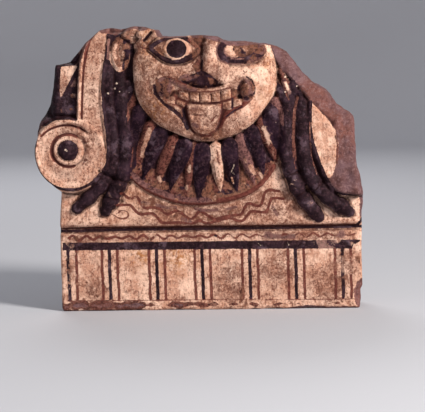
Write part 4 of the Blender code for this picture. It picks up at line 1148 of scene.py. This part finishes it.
def wear_edges(outline):
    """Rounds the sound edges, chips the broken ones back and bares their clay."""
    depth = inside(outline[::2, :2])
    near = np.full(X.shape, 0.0)
    distance = np.full(X.shape, np.inf)
    for x, h, broken in outline[::3]:
        where = window([(x, h)], 12)
        away = np.hypot(X[where] - x, H[where] - h)
        near[where] = np.where(away < distance[where], broken, near[where])
        distance[where] = np.minimum(distance[where], away)
    near = blurred(near, 2)
    near *= 1 - 0.75 * cliff(26 - np.hypot(X + 26, (H - 160) * 1.5), 10)
    near *= 1 - 0.60 * cliff(14 - np.hypot(X + 96, H - 157), 6)
    ragged = 1.6 + 1.4 * front_noise(10, 51) + 0.7 * front_noise(4, 52)
    broken_depth = np.clip(ragged * near * 1.6 - depth, 0, 10)
    HEIGHT[:] -= broken_depth * 1.6
    rounding = 1.8
    inset = np.clip(rounding - depth, 0, rounding)
    HEIGHT[:] -= (rounding - np.sqrt(rounding**2 - inset**2)) * (1 - near)
    bared = ragged * near * 1.6 - depth + 0.4
    cover(EVERYWHERE, np.where(near > 0.5, bared, -FAR), "bare")
    slope = [
        (-144, 94), (-129, 144), (-112, 144), (-85, 174), (-83.5, 172), (-94.5, 161.8), (-100, 153),
        (-104, 143), (-108.6, 139.6), (-123.6, 138.5), (-124, 111.5), (-127.5, 94),
    ]
    into = inside(slope)
    HEIGHT[:] -= 1.3 * np.clip(into, 0, 7)
    cover(EVERYWHERE, into, "dark")
    cover(EVERYWHERE, np.minimum(into, X + 108 + 4 * front_noise(6, 53)), "mauve")
    cover(EVERYWHERE, np.minimum(into, X + 96), "bare")
    back_off = np.clip((X - 98) * 0.8 + (H - 115) * 0.7, -30, 50)
    slope_right = np.clip(back_off + 12, 0, None) * 0.22 * (X > 30)
    HEIGHT[:] -= np.where(PAINT["bare"] > 0, slope_right, 0)


def add_unevenness():
    """The hand-pressed surface: slow waves, small bumps and pits."""
    HEIGHT[:] = blurred(HEIGHT, 0.7)
    HEIGHT[:] += 0.3 * front_noise(22, 11) + 0.16 * front_noise(7, 12) + 0.08 * front_noise(2.8, 13)
    pits = np.clip(front_noise(3, 14) * front_noise(12, 15) - 0.42, 0, 1)
    HEIGHT[:] -= np.clip(pits * 1.6, 0, 0.7)


def closed_mesh(name, points, faces):
    """A mesh object whose faces point out."""
    mesh = bpy.data.meshes.new(name)
    mesh.from_pydata(points, [], faces)
    bm = bmesh.new()
    bm.from_mesh(mesh)
    bmesh.ops.recalc_face_normals(bm, faces=bm.faces)
    bm.to_mesh(mesh)
    bm.free()
    made = bpy.data.objects.new(name, mesh)
    bpy.context.scene.collection.objects.link(made)
    return made


def tube(name, rings):
    """A closed mesh through rings of points, flat at both ends."""
    index = np.arange(rings[..., 0].size).reshape(rings.shape[:2])
    following = np.roll(index, -1, 1)
    sides = np.stack((index[:-1], following[:-1], following[1:], index[1:]), -1).reshape(-1, 4)
    faces = sides.tolist() + [index[0].tolist(), index[-1].tolist()]
    return closed_mesh(name, rings.reshape(-1, 3).tolist(), faces)


def sheet_block(name, xs, zs, depths, far):
    """A block with an uneven sheet on one side, at the given depths along Y, and a flat side at `far`."""
    rows, columns = len(zs), len(xs)
    across, up = np.meshgrid(xs, zs)
    sheet = np.stack((across, depths, up), -1).reshape(-1, 3)
    index = np.arange(rows * columns).reshape(rows, columns)
    quads = np.stack((index[:-1, :-1], index[:-1, 1:], index[1:, 1:], index[1:, :-1]), -1).reshape(-1, 4)
    loop = np.r_[index[0, :-1], index[:-1, -1], index[-1, :0:-1], index[:0:-1, 0]]
    flat = sheet[loop].copy()
    flat[:, 1] = far
    beyond = np.arange(len(loop)) + len(sheet)
    sides = np.stack((loop, np.roll(loop, -1), np.roll(beyond, -1), beyond), -1)
    faces = quads.tolist() + sides.tolist() + [beyond.tolist()]
    return closed_mesh(name, np.vstack((sheet, flat)).tolist(), faces)


def break_block(outline):
    """The envelope that the breaks left, rough where the edge is broken."""
    depths = np.r_[FRONT - 60, np.arange(FRONT - 30, BACK + 3, BREAK_STEP), BACK + 20]
    before, after = np.roll(outline, 4, 0), np.roll(outline, -4, 0)
    inward = np.stack((after[:, 1] - before[:, 1], before[:, 0] - after[:, 0]), 1)
    inward /= np.hypot(*inward.T)[:, None]
    spacing = (BREAK_STEP, OUTLINE_STEP)
    shape = (len(depths), len(outline))
    broken = 0.7 + 1.2 * noise(shape, spacing, 10, 61) + 0.5 * noise(shape, spacing, 3.5, 62)
    broken += 1.6 * np.clip(noise(shape, spacing, 45, 63), 0, 1)
    worn = 0.2 + 0.2 * noise(shape, spacing, 6, 64)
    inset = np.clip(broken, 0, None) * outline[:, 2] + np.clip(worn, 0, None) * (1 - outline[:, 2])
    x = outline[:, 0] + inset * inward[:, 0]
    z = outline[:, 1] + inset * inward[:, 1] + BASE_HEIGHT
    on_ground = outline[:, 1] <= -BASE_HEIGHT + TOUCH
    x = np.clip(x, NODE_LOW.x / SCALE + 0.2, NODE_HIGH.x / SCALE - 0.2)
    z = np.where(on_ground, 0.0, np.clip(z, 0.0, DRAWN_TOP - 0.3))
    return tube("break", np.stack((x, np.broadcast_to(depths[:, None], shape), z), -1))


def tile_block():
    """The stub of the half-round cover tile, hollow below and cut off flat."""
    turns = np.linspace(-0.06, math.pi + 0.06, 84)
    inner, outer = TILE_RADIUS - TILE_WALL, TILE_RADIUS
    near, far = BACK - 6, BACK + TILE_LENGTH
    radial = np.linspace(inner, outer, 8)
    length = np.linspace(near, far, 16)
    section = np.array(
        [(inner, y) for y in length[:-1]] + [(r, far) for r in radial[:-1]]
        + [(outer, y) for y in length[:0:-1]] + [(r, near) for r in radial[:0:-1]]
    )
    middle = np.array([(inner + outer) / 2, (near + far) / 2])
    corner = np.abs(section - middle) / (np.array([outer - inner, far - near]) / 2)
    section = section - (section - middle) * (corner.min(1) > 0.999)[:, None] * 0.05
    shape, spacing = (len(turns), len(section)), (3, 2.8)
    bumps = 0.35 * noise(shape, spacing, 12, 71) + 0.2 * noise(shape, spacing, 5, 72) - 0.5
    out = (section - middle) / np.hypot(*(section - middle).T)[:, None]
    r = section[:, 0] + out[:, 0] * bumps
    y = section[:, 1] + out[:, 1] * bumps
    return tube("tile", np.stack((r * np.cos(turns)[:, None], y, r * np.sin(turns)[:, None]), -1))


def ground_block():
    """A box that cuts off what would reach below the underside."""
    corners = [(x, y, z) for z in (-200.0, 0.0) for y in (-300.0, 300.0) for x in (-300.0, 300.0)]
    faces = [(0, 1, 3, 2), (4, 6, 7, 5), (0, 4, 5, 1), (2, 3, 7, 6), (0, 2, 6, 4), (1, 5, 7, 3)]
    return closed_mesh("ground", corners, faces)


def combine(target, operation, operand):
    """Adds a Boolean step to an object."""
    step = target.modifiers.new(operation, "BOOLEAN")
    step.operation = operation
    step.solver = "MANIFOLD"
    step.object = operand


def sampled(field, x, h):
    """A map's values at any points of the front, between its grid points."""
    column = np.clip((x - XS[0]) / GRID, 0, len(XS) - 1.001)
    row = np.clip((h - HS[0]) / GRID, 0, len(HS) - 1.001)
    c, r = column.astype(int), row.astype(int)
    u, v = column - c, row - r
    low = field[r, c] * (1 - u) + field[r, c + 1] * u
    high = field[r + 1, c] * (1 - u) + field[r + 1, c + 1] * u
    return low * (1 - v) + high * v


def make_body():
    """The whole fired piece as one closed mesh."""
    outline = outline_left()
    wear_edges(outline)
    add_unevenness()
    front = sheet_block("antefix_clay", XS, HS + BASE_HEIGHT, FRONT - HEIGHT, BACK + 30)
    back_x, back_z = np.arange(-152, 136, BACK_GRID), np.arange(-8, 244, BACK_GRID)
    shape, spacing = (len(back_z), len(back_x)), (BACK_GRID, BACK_GRID)
    hollows = 0.4 * noise(shape, spacing, 30, 21) + 0.3 * noise(shape, spacing, 9, 22)
    back = sheet_block("back", back_x, back_z, BACK - 0.7 + hollows, FRONT - 60)
    guides = [back, break_block(outline), tile_block(), ground_block()]
    for operation, guide in zip(("INTERSECT", "INTERSECT", "UNION", "DIFFERENCE"), guides):
        combine(front, operation, guide)
    bpy.context.view_layer.update()
    evaluated = front.evaluated_get(bpy.context.evaluated_depsgraph_get())
    mesh = bpy.data.meshes.new_from_object(evaluated)
    for guide in guides:
        bpy.data.objects.remove(guide, do_unlink=True)
    front.modifiers.clear()
    front.data = mesh
    return front


def values_of(items, name, width=1, kind=np.float32):
    """One value or vector of each item in a part of a mesh."""
    values = np.empty(len(items) * width, kind)
    items.foreach_get(name, values)
    return values.reshape(-1, width) if width > 1 else values


def add_maps(piece):
    """Puts the paint and wear maps on the mesh's points. Clay shows on every side but the front."""
    x, y, z = values_of(piece.data.vertices, "co", 3).T.astype(float)
    h = z - BASE_HEIGHT
    behind = y - (FRONT - sampled(HEIGHT, x, h)) - FRONT_SKIN
    maps = {name: np.minimum(sampled(field, x, h), -behind) for name, field in PAINT.items()}
    maps["bare"] = np.maximum(maps["bare"], behind)
    relief = HEIGHT - blurred(HEIGHT, 1.4)
    for name, field, elsewhere in (
        ("relief", relief, 0.0), ("grime_and_shade", GRIME_AND_SHADE, 0.3), ("ochre", OCHRE, 0.0), ("wear", WEAR, 0.0),
    ):
        maps[name] = np.where(behind < 0, sampled(field, x, h), elsewhere)
    for name, values in maps.items():
        points = piece.data.attributes.new(name, "FLOAT", "POINT").data
        points.foreach_set("value", values.astype(np.float32))


def chart_names(facing, centres):
    """Which chart of the bake map each face belongs to, from its normal and its middle."""
    outward = (facing[:, 0] * centres[:, 0] + facing[:, 2] * centres[:, 2]) > 0
    behind = centres[:, 1] - (FRONT - sampled(HEIGHT, centres[:, 0], centres[:, 2] - BASE_HEIGHT))
    to_back = facing[:, 1] > 0.7
    on_tile = centres[:, 1] > BACK + 0.8
    chart = np.full(len(centres), "rim", dtype="<U5")
    chart[behind < 0.6] = "front"
    chart[to_back & (centres[:, 1] < BACK + 3) & (chart != "front")] = "back"
    chart[on_tile & outward] = "outer"
    chart[on_tile & ~outward] = "inner"
    chart[on_tile & to_back] = "end"
    chart[(facing[:, 2] < -0.9) & (centres[:, 2] < 0.5)] = "under"
    return chart


def along_outline(centres, at, face_of):
    """How far along the outline each face corner is, by the outline point nearest to its face."""
    outline = outline_left()[:, :2]
    nearest = np.zeros(len(centres), int)
    best = np.full(len(centres), np.inf)
    for index, (x, h) in enumerate(outline):
        away = np.hypot(centres[:, 0] - x, centres[:, 2] - BASE_HEIGHT - h)
        nearest = np.where(away < best, index, nearest)
        best = np.minimum(best, away)
    step = np.roll(outline, -1, 0) - outline
    step /= np.hypot(*step.T)[:, None]
    own = nearest[face_of]
    beyond = np.stack((at[:, 0], at[:, 2] - BASE_HEIGHT), 1) - outline[own]
    return own * OUTLINE_STEP + (beyond * step[own]).sum(1)


def add_bake_map(piece):
    """A second set of texture places with most of the room for the painted front, for baking."""
    mesh = piece.data
    counts = values_of(mesh.polygons, "loop_total", 1, np.int32)
    face_of = np.repeat(np.arange(len(counts)), counts)
    centres = values_of(mesh.polygons, "center", 3)
    chart = chart_names(values_of(mesh.polygons, "normal", 3), centres)[face_of]
    corners = values_of(mesh.loops, "vertex_index", 1, np.int32)
    at = values_of(mesh.vertices, "co", 3)[corners].astype(float)
    x, y, z = at.T
    turn = np.arctan2(np.maximum(z, 0), x)
    along = along_outline(centres, at, face_of)
    places = {
        "front": (x + 145, z), "rim": (along + 2, y + 48), "back": (130 - x, z), "under": (x + 145, y + 48),
        "end": (x + 87, z), "outer": (turn * TILE_RADIUS, y - BACK),
        "inner": (turn * (TILE_RADIUS - TILE_WALL), y - BACK),
    }
    uv = np.zeros((len(at), 2))
    for name, (left, low, scale) in BAKE_CHARTS.items():
        chosen = chart == name
        uv[chosen] = (left, low) + np.stack(places[name], 1)[chosen] * scale
    layer = mesh.uv_layers.new(name="OFBake")
    layer.data.foreach_set("uv", np.clip(uv, 0.001, 0.999).astype(np.float32).ravel())


class Shading:
    """Adds nodes to a material and links them."""

    def __init__(self, name):
        self.material = bpy.data.materials.new(name)
        self.material.use_nodes = True
        self.tree = self.material.node_tree
        self.shader = self.tree.nodes["Principled BSDF"]
        self.place = self.add("ShaderNodeTexCoord").outputs["Object"]

    def add(self, kind, **settings):
        node = self.tree.nodes.new(kind)
        for name, value in settings.items():
            setattr(node, name, value)
        return node

    def join(self, value, socket):
        """Links an output to a socket, or sets a plain value."""
        if isinstance(value, bpy.types.NodeSocket):
            self.tree.links.new(value, socket)
        else:
            socket.default_value = value

    def noise(self, scale, detail=3.0, roughness=0.55, distortion=0.0, stretch=None):
        """A noise in the object's own space, from 0 to 1."""
        node = self.add("ShaderNodeTexNoise")
        place = self.place
        if stretch:
            mapping = self.add("ShaderNodeMapping")
            self.join(place, mapping.inputs["Vector"])
            mapping.inputs["Scale"].default_value = stretch
            place = mapping.outputs["Vector"]
        self.join(place, node.inputs["Vector"])
        settings = {"Scale": scale, "Detail": detail, "Roughness": roughness, "Distortion": distortion}
        for name, value in settings.items():
            node.inputs[name].default_value = value
        return node.outputs["Fac"]

    def attribute(self, name):
        return self.add("ShaderNodeAttribute", attribute_name=name).outputs["Fac"]

    def maths(self, operation, first, second=0.0, third=0.0):
        node = self.add("ShaderNodeMath", operation=operation)
        for value, socket in zip((first, second, third), node.inputs):
            self.join(value, socket)
        return node.outputs[0]

    def times(self, first, second):
        return self.maths("MULTIPLY", first, second)

    def plus(self, first, second):
        return self.maths("ADD", first, second)

    def spread(self, value, low, high, to_low=0.0, to_high=1.0):
        """Maps low..high to to_low..to_high, clamped."""
        node = self.add("ShaderNodeMapRange", interpolation_type="SMOOTHSTEP")
        self.join(value, node.inputs["Value"])
        for name, number in (("From Min", low), ("From Max", high), ("To Min", to_low), ("To Max", to_high)):
            node.inputs[name].default_value = number
        return node.outputs["Result"]

    def mix(self, share, first, second):
        """A colour between two, by the share of the second."""
        node = self.add("ShaderNodeMix", data_type="RGBA")
        self.join(share, node.inputs[0])
        for value, socket in ((first, node.inputs[6]), (second, node.inputs[7])):
            self.join(value if isinstance(value, bpy.types.NodeSocket) else (*value, 1.0), socket)
        return node.outputs[2]


def painted_clay():
    """Fired clay under worn slip and paint, from the maps on the mesh."""
    s = Shading("painted_terracotta")
    broad, middle, small, fine = s.noise(24, 4), s.noise(85, 6, 0.6), s.noise(330, 4, 0.6), s.noise(1000, 3)
    patches = s.noise(150, 6, 0.68, 0.5)
    mottling = s.noise(520, 5, 0.66, 0.4)
    streaks = s.noise(620, 3, 0.6, 0.0, (1.0, 1.0, 0.35))
    pepper = s.noise(600, 2, 0.6)
    relief = s.attribute("relief")
    grime_and_shade = s.attribute("grime_and_shade")
    ragged = s.plus(s.maths("MULTIPLY_ADD", small, 1.7, -0.85), s.maths("MULTIPLY_ADD", fine, 0.9, -0.45))
    mottle = s.spread(grime_and_shade, -0.8, 0.0, 0.25, 1.0)

    slip = s.mix(s.spread(middle, 0.38, 0.60), (0.62, 0.325, 0.225), (0.92, 0.600, 0.455))
    slip = s.mix(s.spread(broad, 0.42, 0.66, 0.0, 0.5), slip, (0.56, 0.275, 0.180))
    slip = s.mix(s.times(s.attribute("ochre"), s.spread(small, 0.35, 0.6)), slip, (0.48, 0.18, 0.045))
    worn = s.times(s.spread(patches, 0.47, 0.64), s.spread(small, 0.42, 0.58))
    slip = s.mix(s.times(s.times(worn, mottle), 0.80), slip, (0.30, 0.120, 0.078))
    speckle = s.times(s.spread(streaks, 0.53, 0.62), s.spread(middle, 0.62, 0.42, 0.35, 1.0))
    slip = s.mix(s.times(s.times(speckle, mottle), 0.68), slip, (0.18, 0.062, 0.042))
    slip = s.mix(s.times(s.spread(pepper, 0.44, 0.34), 0.45), slip, (0.95, 0.66, 0.52))
    specks = s.times(s.spread(pepper, 0.585, 0.655), s.spread(grime_and_shade, -0.8, 0.6, 0.25, 1.0))
    slip = s.mix(s.times(specks, 0.90), slip, (0.100, 0.030, 0.022))
    pitted = s.times(s.spread(s.noise(420, 3, 0.7), 0.53, 0.61), s.spread(grime_and_shade, 0.1, 0.9))
    slip = s.mix(s.times(pitted, 0.70), slip, (0.13, 0.045, 0.030))
    # Grime and painted shade darken the slip in cloudy patches
    cloudy = s.plus(s.spread(patches, 0.35, 0.65, 0.0, 0.5), s.spread(mottling, 0.36, 0.64, 0.0, 0.6))
    dirt_and_shade = s.times(s.spread(grime_and_shade, 0.0, 1.0), cloudy)
    slip = s.mix(s.times(dirt_and_shade, 0.80), slip, (0.22, 0.080, 0.052))

    clay = s.mix(s.spread(middle, 0.35, 0.65), (0.122, 0.054, 0.050), (0.172, 0.094, 0.102))
    clay = s.mix(s.spread(broad, 0.46, 0.60, 0.0, 0.60), clay, (0.220, 0.080, 0.058))
    clay = s.mix(s.spread(mottling, 0.48, 0.66, 0.0, 0.7), clay, (0.27, 0.155, 0.150))
    clay = s.mix(s.spread(small, 0.50, 0.70, 0.0, 0.55), clay, (0.072, 0.030, 0.032))

    # The dark paint is near black; its lilac and lighter mottles are a painted sheen
    black = s.mix(s.spread(middle, 0.42, 0.68), (0.007, 0.002, 0.006), (0.024, 0.010, 0.020))
    dark = s.mix(s.spread(s.noise(75, 5, 0.68), 0.54, 0.66, 0.0, 0.75), black, (0.120, 0.075, 0.098))
    dark = s.mix(s.spread(small, 0.48, 0.70, 0.0, 0.45), dark, (0.105, 0.050, 0.064))
    dark = s.mix(s.spread(mottling, 0.58, 0.70, 0.0, 0.40), dark, (0.140, 0.062, 0.070))
    dark = s.mix(mottle, black, dark)
    red = s.mix(s.spread(small, 0.35, 0.68), (0.085, 0.016, 0.014), (0.200, 0.058, 0.044))
    russet = s.mix(s.spread(mottling, 0.38, 0.58), (0.045, 0.012, 0.011), (0.180, 0.062, 0.048))
    russet = s.mix(s.spread(patches, 0.55, 0.64, 0.0, 0.7), russet, (0.40, 0.200, 0.145))
    mauve = s.mix(s.spread(mottling, 0.38, 0.58), (0.062, 0.024, 0.028), (0.230, 0.106, 0.100))
    umber = s.mix(s.spread(mottling, 0.36, 0.58), (0.040, 0.012, 0.009), (0.225, 0.088, 0.056))

    rubbed = s.spread(s.plus(s.attribute("wear"), s.spread(patches, 0.42, 0.75)), 0.80, 1.25)
    colour = slip
    for name, paint, width, keep in (
        ("umber", umber, 0.5, 0.92), ("russet", russet, 0.5, 0.96), ("mauve", mauve, 0.6, 0.85),
        ("red", red, 0.35, 0.95), ("dark", dark, 0.3, 0.985),
    ):
        edge = s.maths("MULTIPLY_ADD", ragged, 0.85, s.attribute(name))
        there = s.spread(edge, -width * 0.5, width)
        there = s.times(there, s.maths("SUBTRACT", keep, s.times(rubbed, 0.78)))
        colour = s.mix(there, colour, paint)
    colour = s.mix(s.times(dirt_and_shade, 0.35), colour, (0.070, 0.026, 0.021))
    bared = s.spread(s.maths("MULTIPLY_ADD", ragged, 1.5, s.attribute("bare")), -0.2, 0.35)
    chipped = s.times(s.spread(patches, 0.62, 0.70), s.spread(broad, 0.46, 0.60))
    high = s.times(s.spread(relief, 0.35, 1.0), s.spread(small, 0.50, 0.62))
    bared = s.maths("MAXIMUM", bared, s.times(s.maths("MAXIMUM", chipped, high), 0.35))
    colour = s.mix(bared, colour, clay)
    fleck = s.spread(s.maths("MULTIPLY_ADD", ragged, 1.2, s.attribute("fleck")), -0.1, 0.4)
    colour = s.mix(fleck, colour, (0.78, 0.58, 0.46))
    # Dirt and painted shade: recesses in the relief are darkened to near black
    hollow = s.times(s.spread(relief, -0.6, -0.08, 0.80, 0.0), s.spread(small, 0.25, 0.6, 0.65, 1.0))
    colour = s.mix(hollow, colour, (0.024, 0.008, 0.009))
    s.join(colour, s.shader.inputs["Base Color"])

    roughness = s.spread(small, 0.3, 0.7, 0.66, 0.88)
    glossy = s.spread(s.attribute("dark"), 0.0, 0.5, 0.0, 0.20)
    s.join(s.maths("SUBTRACT", roughness, glossy), s.shader.inputs["Roughness"])
    s.shader.inputs["Specular IOR Level"].default_value = 0.06

    bump = s.add("ShaderNodeBump")
    bump.inputs["Strength"].default_value = 0.9
    bump.inputs["Distance"].default_value = 0.0010
    grain = s.plus(s.times(small, 0.9), s.times(fine, 0.45))
    grain = s.plus(grain, s.times(mottling, 0.4))
    grain = s.plus(grain, s.times(bared, -0.35))
    grain = s.plus(grain, s.times(worn, -0.5))
    s.join(grain, bump.inputs["Height"])
    s.join(bump.outputs["Normal"], s.shader.inputs["Normal"])
    return s.material


def plain_material(name, colour, roughness):
    """A material of one colour."""
    material = bpy.data.materials.new(name)
    material.use_nodes = True
    shader = material.node_tree.nodes["Principled BSDF"]
    shader.inputs["Base Color"].default_value = (*colour, 1.0)
    shader.inputs["Roughness"].default_value = roughness
    return material


def make_stage():
    """A pale round floor that sweeps up into a low backdrop."""
    flat, radius, height = 2.2, 0.6, 1.0
    bend = np.radians(np.linspace(0, 90, 12))
    profile = [(0.0, 0.0), (flat, 0.0)]
    profile += [(flat + radius * math.sin(turn), radius * (1 - math.cos(turn))) for turn in bend[1:]]
    profile.append((flat + radius, radius + height))
    mesh = bpy.data.meshes.new("floor")
    edges = [(index, index + 1) for index in range(len(profile) - 1)]
    mesh.from_pydata([(r, 0.0, z) for r, z in profile], edges, [])
    floor = bpy.data.objects.new("floor", mesh)
    bpy.context.scene.collection.objects.link(floor)
    turn = floor.modifiers.new("Turn", "SCREW")
    turn.steps = turn.render_steps = 96
    turn.use_merge_vertices = True
    turn.merge_threshold = 0.0001
    turn.use_normal_flip = True
    mesh.materials.append(plain_material("pale_floor", (0.54, 0.55, 0.60), 0.9))


def area_light(name, place, aim, size, power, colour):
    """A round soft light that points at a place."""
    light = bpy.data.lights.new(name, "AREA")
    light.shape = "DISK"
    light.size = size
    light.energy = power
    light.color = colour
    made = bpy.data.objects.new(name, light)
    made.location = place
    made.rotation_euler = (Vector(aim) - Vector(place)).to_track_quat("-Z", "Y").to_euler()
    bpy.context.scene.collection.objects.link(made)


def make_lights():
    """A warm light from the upper right, a weak one from the left, one behind and a dim sky."""
    aim = (0.0, 0.0, 0.12)
    area_light("key", (1.25, -1.15, 1.10), aim, 0.45, 53, (1.0, 0.95, 0.88))
    area_light("fill", (-1.3, -1.6, 0.8), aim, 1.4, 3, (0.95, 0.95, 1.0))
    area_light("back", (-0.4, 1.5, 1.4), aim, 1.0, 14, (1.0, 0.98, 0.95))
    world = bpy.data.worlds.new("studio")
    world.use_nodes = True
    sky = world.node_tree.nodes["Background"]
    sky.inputs["Color"].default_value = (0.80, 0.82, 0.92, 1.0)
    sky.inputs["Strength"].default_value = 0.16
    bpy.context.scene.world = world
    bpy.context.scene.view_settings.view_transform = "Standard"


def make_camera():
    """The photograph's view: a little to the right of and above the plaque, held slightly askew."""
    azimuth, elevation, roll = math.radians(3.0), math.radians(4.0), math.radians(1.1)
    distance, across = 1.5, 0.3520
    target = Vector((0.0, FRONT * SCALE, 0.1196))
    aim = Vector((0.0024, FRONT * SCALE, 0.0869))
    level = math.cos(elevation)
    towards = Vector((math.sin(azimuth) * level, -math.cos(azimuth) * level, math.sin(elevation)))
    camera = bpy.data.cameras.new("camera")
    camera.sensor_width = 36.0
    camera.lens = 36.0 * distance / across
    made = bpy.data.objects.new("camera", camera)
    made.location = target + towards * distance
    look = (aim - made.location).to_track_quat("-Z", "Y").to_matrix().to_4x4()
    made.rotation_euler = (look @ Matrix.Rotation(-roll, 4, "Z")).to_euler()
    bpy.context.scene.collection.objects.link(made)
    bpy.context.scene.camera = made


make_field()
make_side_band()
make_volute()
make_hair_ground()
make_right_break()
make_beard()
make_hair()
make_face()
make_locks()
make_eyes()
make_brow()
make_ear()
make_nose()
make_mouth()
make_field_paint()
make_base_paint()
make_marks()
antefix = make_body()
add_maps(antefix)
add_bake_map(antefix)
antefix.data.transform(Matrix.Scale(SCALE, 4))
antefix.data.materials.clear()
antefix.data.materials.append(painted_clay())
antefix.data.shade_smooth()
antefix.data.set_sharp_from_angle(angle=math.radians(62))
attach(antefix, "root")
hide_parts(NODE)
make_stage()
make_lights()
make_camera()
